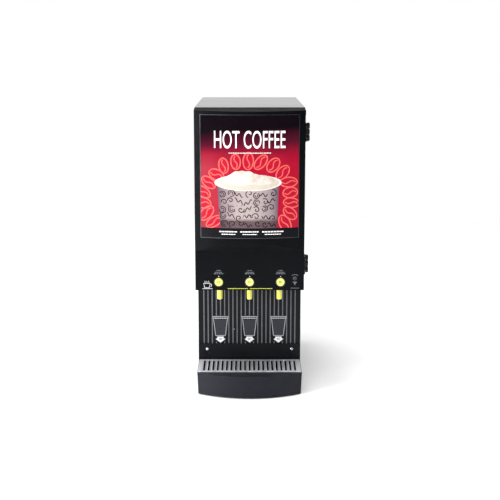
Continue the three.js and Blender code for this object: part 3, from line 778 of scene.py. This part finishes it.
def button_set():
    front, r = button_low.y, BUTTON_RADIUS
    cap = [(0, front + 0.5), (r * 0.5, front + 0.35), (r * 0.72, front + 0.1), (r * 0.84, front),
           (r * 0.93, front + 0.25), (r, front + 1.2), (r, 2), (r, 12), (0, 12)]
    bezel = [(r + 1.1, 0.05), (r + 1.1, -1.2), (r + 1.7, -1.7), (r + 2.6, -1.4), (r + 3.4, 0.05)]
    for i, x in enumerate(STATIONS, 1):
        centre = at(x, 0, BUTTON_Z)
        turned(f"button_cap_{i}", cap, "y", centre, yellow_plastic, f"button_{i}",
               "yellow_plastic", (f"dispense_button_{i}",), 64)
        turned(f"button_bezel_{i}", bezel, "y", centre, black_plastic, "door", "black_plastic",
               (), 64, True)
        mark = printed(f"button_mark_{i}", (120, 118, 44), (146, 146, 62))
        rng = random.Random(20 + i)
        lines = word_marks(rng, x, BUTTON_Z + 1.5, 10, 2.0)
        lines += word_marks(rng, x, BUTTON_Z - 1.5, 8, 2.0)
        print_shapes(f"button_print_{i}", lines, front + 0.45, mark, f"button_{i}",
                     "yellow_plastic", lift=0.03)


def panel_print():
    """Grey and yellow print on the control panel, with the indicator dots."""
    rng = random.Random(8)
    grey = printed("grey_print", (112, 115, 121), (96, 99, 104))
    yellow = printed("yellow_print", (214, 218, 86), (196, 200, 74))
    white = printed("panel_white", (232, 232, 234), (214, 214, 217))
    lines = []
    for x in STATIONS:
        for z, width, height in ((359.5, 12, 2.4), (354.5, 21, 2.6), (350.8, 26, 2.6)):
            lines += word_marks(rng, x, z, width, height)
    right = 121.5
    lines += ribbon(arc(right, 336, 12.5, 48, 132, 12), 1.7)
    lines += word_marks(rng, right, 311, 22, 2.0)
    lines.append([(right - 6.5, 328.6), (right + 6.5, 328.6), (right + 1.2, 322.8),
                  (right + 1.2, 319.5), (right - 1.2, 319.5), (right - 1.2, 322.8)])
    print_shapes("panel_grey_print", lines, PANEL, grey, "door", "black_panel")
    rule = word_marks(rng, -32, 309.6, 54, 1.8) + word_marks(rng, 31, 309.6, 60, 1.8)
    print_shapes("panel_yellow_print", rule, PANEL, yellow, "door", "black_panel")
    cup = [(-124, 324), (-106, 324), (-109, 312), (-121, 312)]
    mark = ribbon(cup, 1.6, closed=True) + ribbon(arc(-106, 319, 3.6, -80, 80, 8), 1.4)
    for dx in (-5, 0, 5):
        mark += ribbon([(-115 + dx + 0.9 * math.sin(t), 326 + t * 0.8) for t in range(7)], 1.1)
    mark += ribbon([(-127, 309.4), (-100, 309.4)], 1.3)
    print_shapes("panel_cup_mark", mark, PANEL, white, "door", "black_panel")
    lens = [(0, -1.2), (0.7, -1.05), (1.15, -0.6), (1.3, 0.05), (0, 0.05)]
    for i, x in enumerate(STATIONS, 1):
        turned(f"indicator_{i}", lens, "y", at(x, 0, 343), white_plastic, "door", "white_plastic",
               (), 20)


def selector():
    low, high = size_of("selector_switch")
    middle, front, r = middle_of("selector_switch"), low.y, (high.x - low.x) / 2
    centre = at(middle.x, 0, middle.z)
    knob = [(0, front + 0.7), (r * 0.35, front + 0.65), (r * 0.6, front), (r * 0.86, front),
            (r, front + 0.5), (r, 3), (r, 15), (0, 15)]
    turned("selector_knob", knob, "y", centre, rim_metal, "selector", "switch_metal",
           ("selector_switch",))
    blocks("selector_slot", [((middle.x - 0.55, front + 0.05, middle.z - r * 0.55),
                              (middle.x + 0.55, front + 1.2, middle.z + r * 0.55))],
           black_plastic, "selector", "black_plastic", 0.1)
    collar = [(r + 0.45, 0.05), (r + 0.45, -1.0), (r + 1.4, -1.0), (r + 2.0, -0.4), (r + 2.2, 0.05)]
    turned("selector_collar", collar, "y", centre, black_plastic, "door", "black_plastic",
           ring=True)


def hinge_set():
    """Each hinge: two leaves with eased edges, and waisted knuckles round one pin."""
    radius, split, plate = 5, 8, 3
    head = [(0, 1.1), (1.4, 1.0), (3.0, 0.1), (3.0, -0.1), (0, -0.1)]
    for level in ("upper", "lower"):
        low, high = size_of(f"hinge_door_leaf_{level}")
        pin_low, pin_high = size_of(f"hinge_cabinet_leaf_{level}")
        x, y, z = high.x - radius, high.y - radius, (low.z + high.z) / 2
        half = (high.z - low.z) / 2
        parts = (("door", -1, [(-split + 0.2, split - 0.2)]),
                 ("cabinet", 1, [(-half, -split - 0.2), (split + 0.2, half)]))
        for body, side, spans in parts:
            near, far = sorted((y + side * 6, y + side * 27))
            boxes = [((low.x, near, z - half), (low.x + plate, far, z + half))]
            for start, end in spans:
                a, b = sorted((y + side * 2.5, y + side * 9))
                boxes.append(((low.x, a, z + start + 0.8), (x - 1.5, b, z + end - 0.8)))
            blocks(f"hinge_{body}_{level}", boxes, hinge_black, body, "hinge_black", 0.7,
                   (f"hinge_{body}_leaf_{level}",))
            for k, (start, end) in enumerate(spans):
                waist = [(2.15, start), (3.0, start), (4.3, start + 0.7), (5, start + 2.2)]
                profile = [*waist, *[(r, start + end - d) for r, d in reversed(waist)]]
                turned(f"hinge_knuckle_{body}_{level}_{k}", profile, "z", at(x, y, z), hinge_black,
                       body, "hinge_black", (), 28, True)
            for k, dz in enumerate((-15, 15)):
                turned(f"hinge_screw_{body}_{level}_{k}", head, "x",
                       at(low.x + plate, y + side * 19, z + dz), zinc, body, "zinc_steel", (), 20)
        pin = [(0, pin_low.z), (1.4, pin_low.z), (2, pin_low.z + 0.6), (2, pin_high.z - 0.6),
               (1.4, pin_high.z), (0, pin_high.z)]
        turned(f"hinge_pin_{level}", pin, "z", at(x, y, 0), zinc, "cabinet", "zinc_steel", (), 20)


def door_inside():
    carried("door_liner", enamel, 0.5)
    low, high = size_of("lamp_tube")
    lamp = middle_of("lamp_tube")
    glass = [(0, low.z), (8, low.z), (8, low.z + 12), (7.4, low.z + 14), (7.4, high.z - 14),
             (8, high.z - 12), (8, high.z), (0, high.z)]
    turned("lamp_body", glass, "z", at(lamp.x, lamp.y, 0), lamp_material(), "door",
           "lamp_glass", ("lamp_tube",))
    liner_low, liner_high = size_of("door_liner")
    back, middle = liner_high.y, (liner_low.z + liner_high.z) / 2
    ribs = [((-112, back - 0.2, middle + dz - 3), (112, back + 1.6, middle + dz + 3))
            for dz in (-150, -50, 50, 150)]
    ribs += [((x - 3, back - 0.2, middle - 170), (x + 3, back + 1.6, middle + 170))
             for x in (-118, 118)]
    blocks("liner_ribs", ribs, enamel, "door", "white_liner", 0.8)
    blocks("lamp_ballast", [((-52, back, middle - 32), (38, back + 5.5, middle + 28)),
                            ((-62, back, middle - 26), (48, back + 2, middle + 22))],
           white_plastic, "door", "white_liner", 1.2)
    tube("lamp_lead", [(48, back + 3, middle), (74, back + 3, middle + 4),
                       (98, back + 3, middle + 34), (108, back + 3, middle + 92),
                       (124, back + 3, middle + 120)], 2.4, motor_black, "door", "motor_black")
    blocks("door_catch", [((-139, back, middle - 14), (-129, back + 3, middle + 14)),
                          ((-136, back + 3, middle - 7), (-132, back + 9, middle + 7))],
           black_plastic, "door", "black_plastic", 0.6)
    head = [(0, 0.45), (2.2, 0.4), (3.0, 0.02), (0, 0.02)]
    spots = [(x, t) for x in (-136, 136) for t in (0.04, 0.35, 0.65, 0.96)]
    for k, (x, t) in enumerate(spots):
        z = liner_low.z + (liner_high.z - liner_low.z) * t
        turned(f"liner_screw_{k}", head, "y", at(x, back, z), zinc, "door", "zinc_steel", (), 20)


# ---------------------------------------------------------------- cabinet

def screw_head(name, axis, centre, radius, slot, material, height=1.6, body="cabinet", outward=1):
    """A domed pan head; outward is 1 or -1 along the axis."""
    profile = [(0, height), (radius * 0.55, height * 0.92), (radius * 0.88, height * 0.55),
               (radius, 0.05), (0, 0.05)]
    turned(name, [(r, outward * h) for r, h in profile], axis, centre, material, body, slot, (), 28)


SEAM_X = 137  # screws in line down the back's seams and on the door's top


def cabinet_outside():
    carried("cabinet_shell", black_paint, 0.6)
    carried("top_lid", lid_paint, 0.6)
    carried("nozzle_deck", black_paint, 0.4)
    carried("base_pan", zinc, 0.4)
    door_top = local(door_high).z
    for k, x in enumerate((-SEAM_X, SEAM_X)):
        screw_head(f"door_top_screw_{k}", "z", at(x, 14, door_top - 2.2), 2.8, "hinge_black",
                   hinge_black, TOP - door_top + 2.0, "door")
    for k, (y, z) in enumerate(((200, 128), (440, 128), (200, 24), (440, 24))):
        screw_head(f"side_screw_{k}", "x", at(HALF, y, z), 3.2, "hinge_black", hinge_black, 1.5)
    blocks("corner_stop", [((HALF, 35, TOP - 21), (HALF + 3, 44, TOP - 8))], hinge_black, "cabinet",
           "hinge_black", 0.5)
    for name in ("foot_front_left", "foot_front_right", "foot_rear_left", "foot_rear_right"):
        low, high = size_of(name)
        foot, r = middle_of(name), (high.x - low.x) / 2
        profile = [(0, 0.4), (r * 0.5, 0.4), (r * 0.55, 0), (r - 1.6, 0), (r, 1.6), (r - 1, 5),
                   (r - 3.6, high.z), (0, high.z)]
        turned(name + "_finished", profile, "z", at(foot.x, foot.y, 0), rubber, "cabinet",
               "rubber", (name,))


def fan_guard():
    """Wire rings on four arms, with a screw at each arm's end."""
    fan, wire, proud = middle_of("fan_frame"), 1.1, BACK + 2.2
    for k, r in enumerate((9, 17, 25, 33, 39)):
        section = [(r + wire * math.cos(a), wire * math.sin(a))
                   for a in (2 * math.pi * i / 10 for i in range(10))]
        turned(f"fan_guard_ring_{k}", section, "y", at(fan.x, proud, fan.z), polished, "cabinet",
               "stainless", (), 48, True)
    for k, angle in enumerate((45, 135, 225, 315)):
        c, s = math.cos(math.radians(angle)), math.sin(math.radians(angle))
        points = [(fan.x + c * t, BACK + rise, fan.z + s * t)
                  for t, rise in ((8, 3.6), (24, 3.6), (38, 3.6), (46, 1.6))]
        tube(f"fan_guard_arm_{k}", points, wire, polished, "cabinet", "stainless", 8)
        screw_head(f"fan_guard_screw_{k}", "y", at(fan.x + c * 49, BACK, fan.z + s * 49), 3.2,
                   "stainless", polished, 1.8)


def rear_plate():
    """A blank rating plate on four rivets."""
    x, z, half_x, half_z = -62, 420, 34, 20
    blocks("rear_plate", [((x - half_x, BACK, z - half_z), (x + half_x, BACK + 0.7, z + half_z))],
           stainless_sheet, "cabinet", "stainless", 0.3)
    for k, (dx, dz) in enumerate((a, b) for a in (-30, 30) for b in (-16, 16)):
        screw_head(f"rear_plate_rivet_{k}", "y", at(x + dx, BACK + 0.65, z + dz), 1.6,
                   "stainless", polished, 0.8)


def inlet():
    """The water inlet with its threaded mouth."""
    carried("inlet_valve", brass, 0.4)
    low, high = size_of("inlet_valve")
    thread, start = [], BACK + 2
    while start < high.y - 1.2:
        thread += [(8.0, start), (8.5, start + 0.5), (8.0, start + 1.0)]
        start += 1.0
    turned("inlet_thread", [(4.4, BACK + 2), *thread, (4.4, start)], "y",
           at((low.x + high.x) / 2, 0, low.z + 16), brass, "cabinet", "brass", (), 32)


def cabinet_back():
    """Fan guard, louvre hoods, seam screws, switch frame and fittings on the back."""
    fan_guard()
    rear_plate()
    seam = [(x, z) for x in (-SEAM_X, SEAM_X) for z in (30, 180, 330, 480, 630, 775)]
    for k, (x, z) in enumerate(seam):
        screw_head(f"back_screw_{k}", "y", at(x, BACK, z), 3.0, "stainless", zinc)
    hoods = [((-47, BACK, z + 2.2), (47, BACK + 2.6, z + 4.0)) for z in range(220, 316, 12)]
    blocks("vent_hoods", hoods, black_paint, "cabinet", "black_paint", 0.7)
    rocker, proud = middle_of("power_rocker"), BACK + 2.2
    sides = ((-11.5, -17.5, -8.2, 17.5), (8.2, -17.5, 11.5, 17.5),
             (-8.2, 14.2, 8.2, 17.5), (-8.2, -17.5, 8.2, -14.2))
    frame_boxes = [((rocker.x + x0, BACK, rocker.z + z0), (rocker.x + x1, proud, rocker.z + z1))
                   for x0, z0, x1, z1 in sides]
    blocks("rocker_frame", frame_boxes, black_plastic, "cabinet", "black_plastic", 0.5)
    for node, width in (("power_rocker", 0.6), ("cord_gland", 0.5), ("fan_frame", 0.5),
                        ("fan_rotor", 0.3)):
        carried(node, black_plastic, width)
    inlet()


CUP_RIM_Z, CUP_SHOULDER_Z, CUP_FOOT_Z = 190.5, 181, 134
CUP_RIM_HALF, CUP_TOP_HALF, CUP_FOOT_HALF = 23.2, 19.5, 14
STRIPES_END = 104.5


def stripe_shapes(top):
    """Upright stripes, broken where the cups and arrows are printed."""
    count, pitch, half = 23, 11.82, 1.45
    stripes = []
    for i in range(count):
        x = (i - (count - 1) / 2) * pitch
        gaps = [abs(x - s) for s in STATIONS]
        bottom = CUP_RIM_Z + 3 if min(gaps) < 20 else STRIPES_END
        stripes.append(rectangle(x - half, x + half, bottom, top))
        if any(8 < gap < 20 for gap in gaps):
            stripes.append(rectangle(x - half, x + half, STRIPES_END, 116))
    return stripes


def splash():
    """Panel behind the cups with printed stripes, cup outlines and arrows."""
    carried("splash_panel", panel_film, 0.2)
    low, high = size_of("splash_panel")
    stripe_ink = printed("stripe_print", (114, 115, 120), (96, 97, 102))
    outline_ink = printed("outline_print", (176, 177, 182), (156, 157, 162))
    fill_ink = printed("fill_print", (54, 55, 61), (48, 49, 55))
    white_ink = printed("arrow_print", (240, 240, 243), (226, 226, 230))
    rng = random.Random(17)
    rim, shoulder, foot = CUP_RIM_HALF, CUP_TOP_HALF, CUP_FOOT_HALF
    outline, fill, arrows, notes = [], [], [], []
    for s in STATIONS:
        outline.append(rectangle(s - rim, s + rim, CUP_RIM_Z - 1.2, CUP_RIM_Z + 1.2))
        for side in (-1, 1):
            outline += ribbon([(s + side * (rim - 1), CUP_RIM_Z),
                               (s + side * shoulder, CUP_SHOULDER_Z),
                               (s + side * foot, CUP_FOOT_Z)], 1.9)
        outline.append(rectangle(s - foot, s + foot, CUP_FOOT_Z - 1.2, CUP_FOOT_Z + 1.0))
        outline += [rectangle(s + k * 6.6 - 2.7, s + k * 6.6 + 2.7, 183.6, 187.4)
                    for k in range(-3, 4)]
        fill.append([(s - foot + 1, CUP_FOOT_Z + 1), (s + foot - 1, CUP_FOOT_Z + 1),
                     (s + shoulder - 1.4, CUP_SHOULDER_Z), (s - shoulder + 1.4, CUP_SHOULDER_Z)])
        arrows.append([(s + x, z) for x, z in ((-9, 131), (-9, 126.5), (-14, 123.5), (0, 113),
                                               (14, 123.5), (9, 126.5), (9, 131))])
        notes += word_marks(rng, s, 125.5, 9, 1.6) + word_marks(rng, s, 122.5, 7, 1.4)
    for name, shapes, ink, lift in (("splash_stripes", stripe_shapes(high.z - 1), stripe_ink, 0.02),
                                    ("splash_cup_fill", fill, fill_ink, 0.04),
                                    ("splash_cup_outlines", outline, outline_ink, 0.16),
                                    ("splash_arrows", arrows, white_ink, 0.1),
                                    ("splash_arrow_notes", notes, stripe_ink, 0.22)):
        print_shapes(name, shapes, low.y, ink, "cabinet", "black_panel", lift)
    screw_head("splash_screw", "y", at(-44, low.y, 153), 1.7, "stainless", zinc, 0.9, outward=-1)


def nozzle_set():
    for i, x in enumerate(STATIONS, 1):
        low, high = size_of(f"nozzle_{i}")
        y, r = middle_of(f"nozzle_{i}").y, (high.x - low.x) / 2
        outer = [(2.8, low.z + 8), (2.8, low.z + 0.6), (3.4, low.z), (r - 3.4, low.z),
                 (r - 1.8, low.z + 0.5), (r - 0.6, low.z + 1.6), (r, low.z + 3.6), (r, high.z - 2),
                 (r - 0.8, high.z), (5.8, high.z)]
        turned(f"nozzle_{i}_finished", outer, "z", at(x, y, 0), nozzle_plastic_painted_light, "cabinet",
               "yellow_plastic", (f"nozzle_{i}",))


# ---------------------------------------------------------------- drip tray

def grille():
    """Stainless grille whose bars are dished strips between raised slot edges."""
    low, high = size_of("drip_grille")
    pitch, count, slot = 12.7, 21, 5.2
    y0, y1 = low.y + 7.5, high.y - 10.5
    top, gauge, drop, skirt_foot = high.z, 0.9, 2.3, 63.4
    bm = bmesh.new()

    def strip(section, start, end):
        """A closed section of (x, z) points drawn from one y to another."""
        ends = [[bm.verts.new(at(x, y, z)) for x, z in section] for y in (start, end)]
        bridge(bm, ends)
        bm.faces.new(list(reversed(ends[0])))
        bm.faces.new(ends[1])

    half_bar = (pitch - slot) / 2
    for k in range(count - 1):
        middle = (k - (count - 2) / 2) * pitch
        upper = [(middle + half_bar * t, top - drop * (1 - t * t)) for t in
                 (-1, -0.8, -0.55, -0.3, 0, 0.3, 0.55, 0.8, 1)]
        strip([*upper, *[(x, z - gauge) for x, z in reversed(upper)]], y0, y1)
    edge, sheet = (count - 1) / 2 * pitch + slot / 2, top - gauge
    for side in (-1, 1):
        strip(rectangle(*sorted((side * edge, side * high.x)), sheet, top), low.y, high.y)
        strip(rectangle(*sorted((side * high.x, side * (high.x - 1.2))), skirt_foot, sheet),
              low.y, high.y)
    for start, end in ((low.y, y0), (y1, high.y)):
        strip(rectangle(-edge, edge, sheet, top), start, end)
    strip(rectangle(-high.x, high.x, skirt_foot, sheet), low.y, low.y + 1.2)
    made = add("grille_bars", mesh_from("grille_bars", bm), stainless, "grille", "stainless",
               "drip_grille")
    bevelled(made, 0.25, 2)
    lugs = [((x - 1, 40, low.z), (x + 1, 118, top - 1)) for x in (-136, 136)]
    blocks("grille_lugs", lugs, stainless, "grille", "stainless", 0.3)


def drip_station():
    carried("drip_tray_bracket", panel_film, 0.35)
    hanger_top, screw_x = size_of("drip_tray_bracket")[1].z, middle_of("shoulder_screw_right").x
    # painted shade: dark rubber pads behind the keyholes make the holes read black
    keyhole_shade_pads = [((x - 8, 137.4, 78), (x + 8, 138.7, hanger_top - 2)) for x in (-screw_x, screw_x)]
    blocks("hanger_keyhole_shade", keyhole_shade_pads, rubber, "cabinet", "rubber", 0.3)
    carried("drip_tray", tray_plastic, 1.1, 3)
    grille()
    for side in ("left", "right"):
        node = f"shoulder_screw_{side}"
        low, high = size_of(node)
        screw, front, r = middle_of(node), low.y, (high.x - low.x) / 2
        head = [(0, front + 0.5), (r * 0.3, front + 0.3), (r * 0.42, front),
                (r * 0.7, front + 0.25), (r * 0.92, front + 1.1), (r, front + 2.0),
                (r, front + 3.2), (2.5, front + 3.2), (2.5, high.y), (0, high.y)]
        turned(node + "_finished", head, "y", at(screw.x, 0, screw.z), polished, "cabinet",
               "stainless", (node,), 40)


# ---------------------------------------------------------------- inside

def hoppers():
    glassy, powder = hopper_material(), powder_material()
    face = 69.1  # the plates' fronts
    for i, x in enumerate(STATIONS, 1):
        body = f"hopper_{i}"
        carried(body, glassy, 0.5)
        carried(f"hopper_lid_{i}", black_plastic, 1.0)
        carried(f"auger_{i}", white_plastic, 0)
        carried(f"auger_motor_{i}", motor_black, 0.8)
        powder_fill(f"powder_{i}", x, powder, body, i)
        blocks(f"hopper_plate_{i}", [((x - 25, face, 652), (x + 25, face + 0.9, 686))],
               white_plastic, body, "white_plastic", 0.4)
        marks = word_marks(random.Random(60 + i), x, 674, 40, 4)
        marks += word_marks(random.Random(70 + i), x, 664, 28, 3)
        print_shapes(f"hopper_print_{i}", marks, face, motor_black, body, "motor_black",
                     lift=0.02)


def powder_fill(name, x, material, body, seed):
    """Powder heaped in a hopper, with a rolling top."""
    rng = random.Random(40 + seed)
    phase, level = rng.uniform(0, 6), rng.uniform(650, 690)
    front, back, columns, rows, half = 75, 285, 12, 26, 36.2
    bm = bmesh.new()
    rings = []
    for z in (534, 560, 596):
        wide = min(half, 19 + (z - 534) * 0.28)
        rings.append([bm.verts.new(at(x + side * wide, y, z)) for side, y in
                      ((-1, front), (1, front), (1, back), (-1, back))])
    bm.faces.new(rings[0])
    bridge(bm, rings)
    grid = []
    for r in range(rows + 1):
        y = front + (back - front) * r / rows
        row = []
        for c in range(columns + 1):
            px = half * (2 * c / columns - 1)
            z = level + 9 * math.sin(y * 0.03 + phase) + 4 * math.sin(px * 0.09 + phase * 2)
            row.append(bm.verts.new(at(x + px, y, z - 0.004 * px * px)))
        grid.append(row)
    bridge(bm, grid, wrap=False)
    top = rings[-1]
    bm.faces.new([top[0], top[1], *reversed(grid[0])])
    bm.faces.new([top[2], top[3], *grid[-1]])
    bm.faces.new([top[1], top[2], *[row[-1] for row in reversed(grid)]])
    bm.faces.new([top[3], top[0], *[row[0] for row in grid]])
    add(name, mesh_from(name, bm), material, body, "white_plastic")


def mixers():
    silicone = tube_material()
    for i, x in enumerate(STATIONS, 1):
        carried(f"mixing_bowl_{i}", white_plastic, 0.5)
        carried(f"whipper_impeller_{i}", white_plastic, 0.3)
        carried(f"whipper_motor_{i}", motor_black, 0.8)
        path = [(x, 223, 448), (x + 6, 205, 448), (x + 20, 184, 452), (x + 28, 162, 455),
                (x + 28, 142, 455), (x + 24, 137, 458), (x + 17, 133.5, 468), (x + 14, 132, 478)]
        tube(f"water_tube_{i}", path, 3.2, silicone, "cabinet", "clear_plastic")


def services():
    carried("inner_chassis", zinc, 0.3)
    carried("water_tank", stainless_sheet, 1.0)
    carried("heater_cover", stainless_sheet, 0.5)
    carried("valve_bank", brass, 0.4)
    carried("control_board", board_material(), 0.4)


# ---------------------------------------------------------------- stage

def faced(made, direction):
    made.rotation_euler = Vector(direction).to_track_quat("-Z", "Y").to_euler()


def floor():
    bm = bmesh.new()
    bmesh.ops.create_circle(bm, cap_ends=True, segments=96, radius=2.6)
    made = placed("floor", mesh_from("floor", bm))
    s = Shader("floor_white", Specular_IOR_Level=0.2)
    s.tones((236, 236, 236), (240, 240, 240), 3)
    s.rough(0.6, 0.7, 5)
    made.data.materials.append(s.material)


def area_light(name, place, target, size, power):
    data = bpy.data.lights.new(name, "AREA")
    data.shape = "RECTANGLE"
    data.size, data.size_y = size
    data.energy = power
    made = placed(name, data)
    made.location = place
    faced(made, Vector(target) - Vector(place))


def studio_world():
    """White behind the object; for its light, brighter behind and above than in front."""
    world = bpy.data.worlds.new("studio")
    bpy.context.scene.world = world
    world.use_nodes = True
    w = Nodes(world.node_tree)
    direction = w.node("TexCoord").outputs["Generated"]
    rear = w.range(w.split(direction, "Y"), 0.18, 0.86, -0.7, 0.8)
    above = w.range(w.split(direction, "Z"), 0.15, 1.0, -0.25, 0.0)
    wall = w.range(w.split(direction, "Z"), 1.0, 0.5, 0.12, 0.3)
    light = w.tree.nodes["Background"]
    light.inputs["Color"].default_value = (1, 1, 1, 1)
    w.plug(light, "Strength", w.maths("MULTIPLY", w.maths("MULTIPLY", rear, above), wall))
    seen = w.node("Background", in_Color=(1, 1, 1, 1))
    mixed = w.node("MixShader", {0: w.node("LightPath").outputs["Is Camera Ray"],
                                 1: light.outputs[0], 2: seen.outputs[0]})
    w.plug(w.tree.nodes["World Output"], "Surface", mixed.outputs[0])


def studio():
    floor()
    studio_world()
    data = bpy.data.lights.new("key", "SUN")
    data.energy, data.angle = 1.95, math.radians(50)
    faced(placed("key", data), (0.5, 0.75, -2.3))
    area_light("overhead", (-0.2, 0.1, 2.8), (0, 0, 0), (3.2, 3.2), 95)
    area_light("side", (-1.9, -1.5, 0.5), (0, -0.2, 0.2), (0.5, 1.4), 60)
    area_light("front", (-1.2, -3.1, 1.6), (0, 0, 0.4), (1.1, 0.9), 9)
    bpy.context.scene.view_settings.view_transform = "Standard"


def camera():
    data = bpy.data.cameras.new("camera")
    made = placed("camera", data)
    bpy.context.scene.camera = made
    distance, height, side, pitch = 2450, 957, -8.8, 10.32
    made.location = at(side, -distance, height)
    made.rotation_euler = (math.radians(90 - pitch), 0, 0)
    data.lens = 67.6
    data.shift_x, data.shift_y = 0.0072, -0.07


# ---------------------------------------------------------------- build

carried("door_shell", door_plastic, 0.9, 3)
window_graphic()
window_rim()
button_set()
panel_print()
selector()
hinge_set()
door_inside()
cabinet_outside()
cabinet_back()
splash()
nozzle_set()
drip_station()
hoppers()
mixers()
services()
studio()
camera()
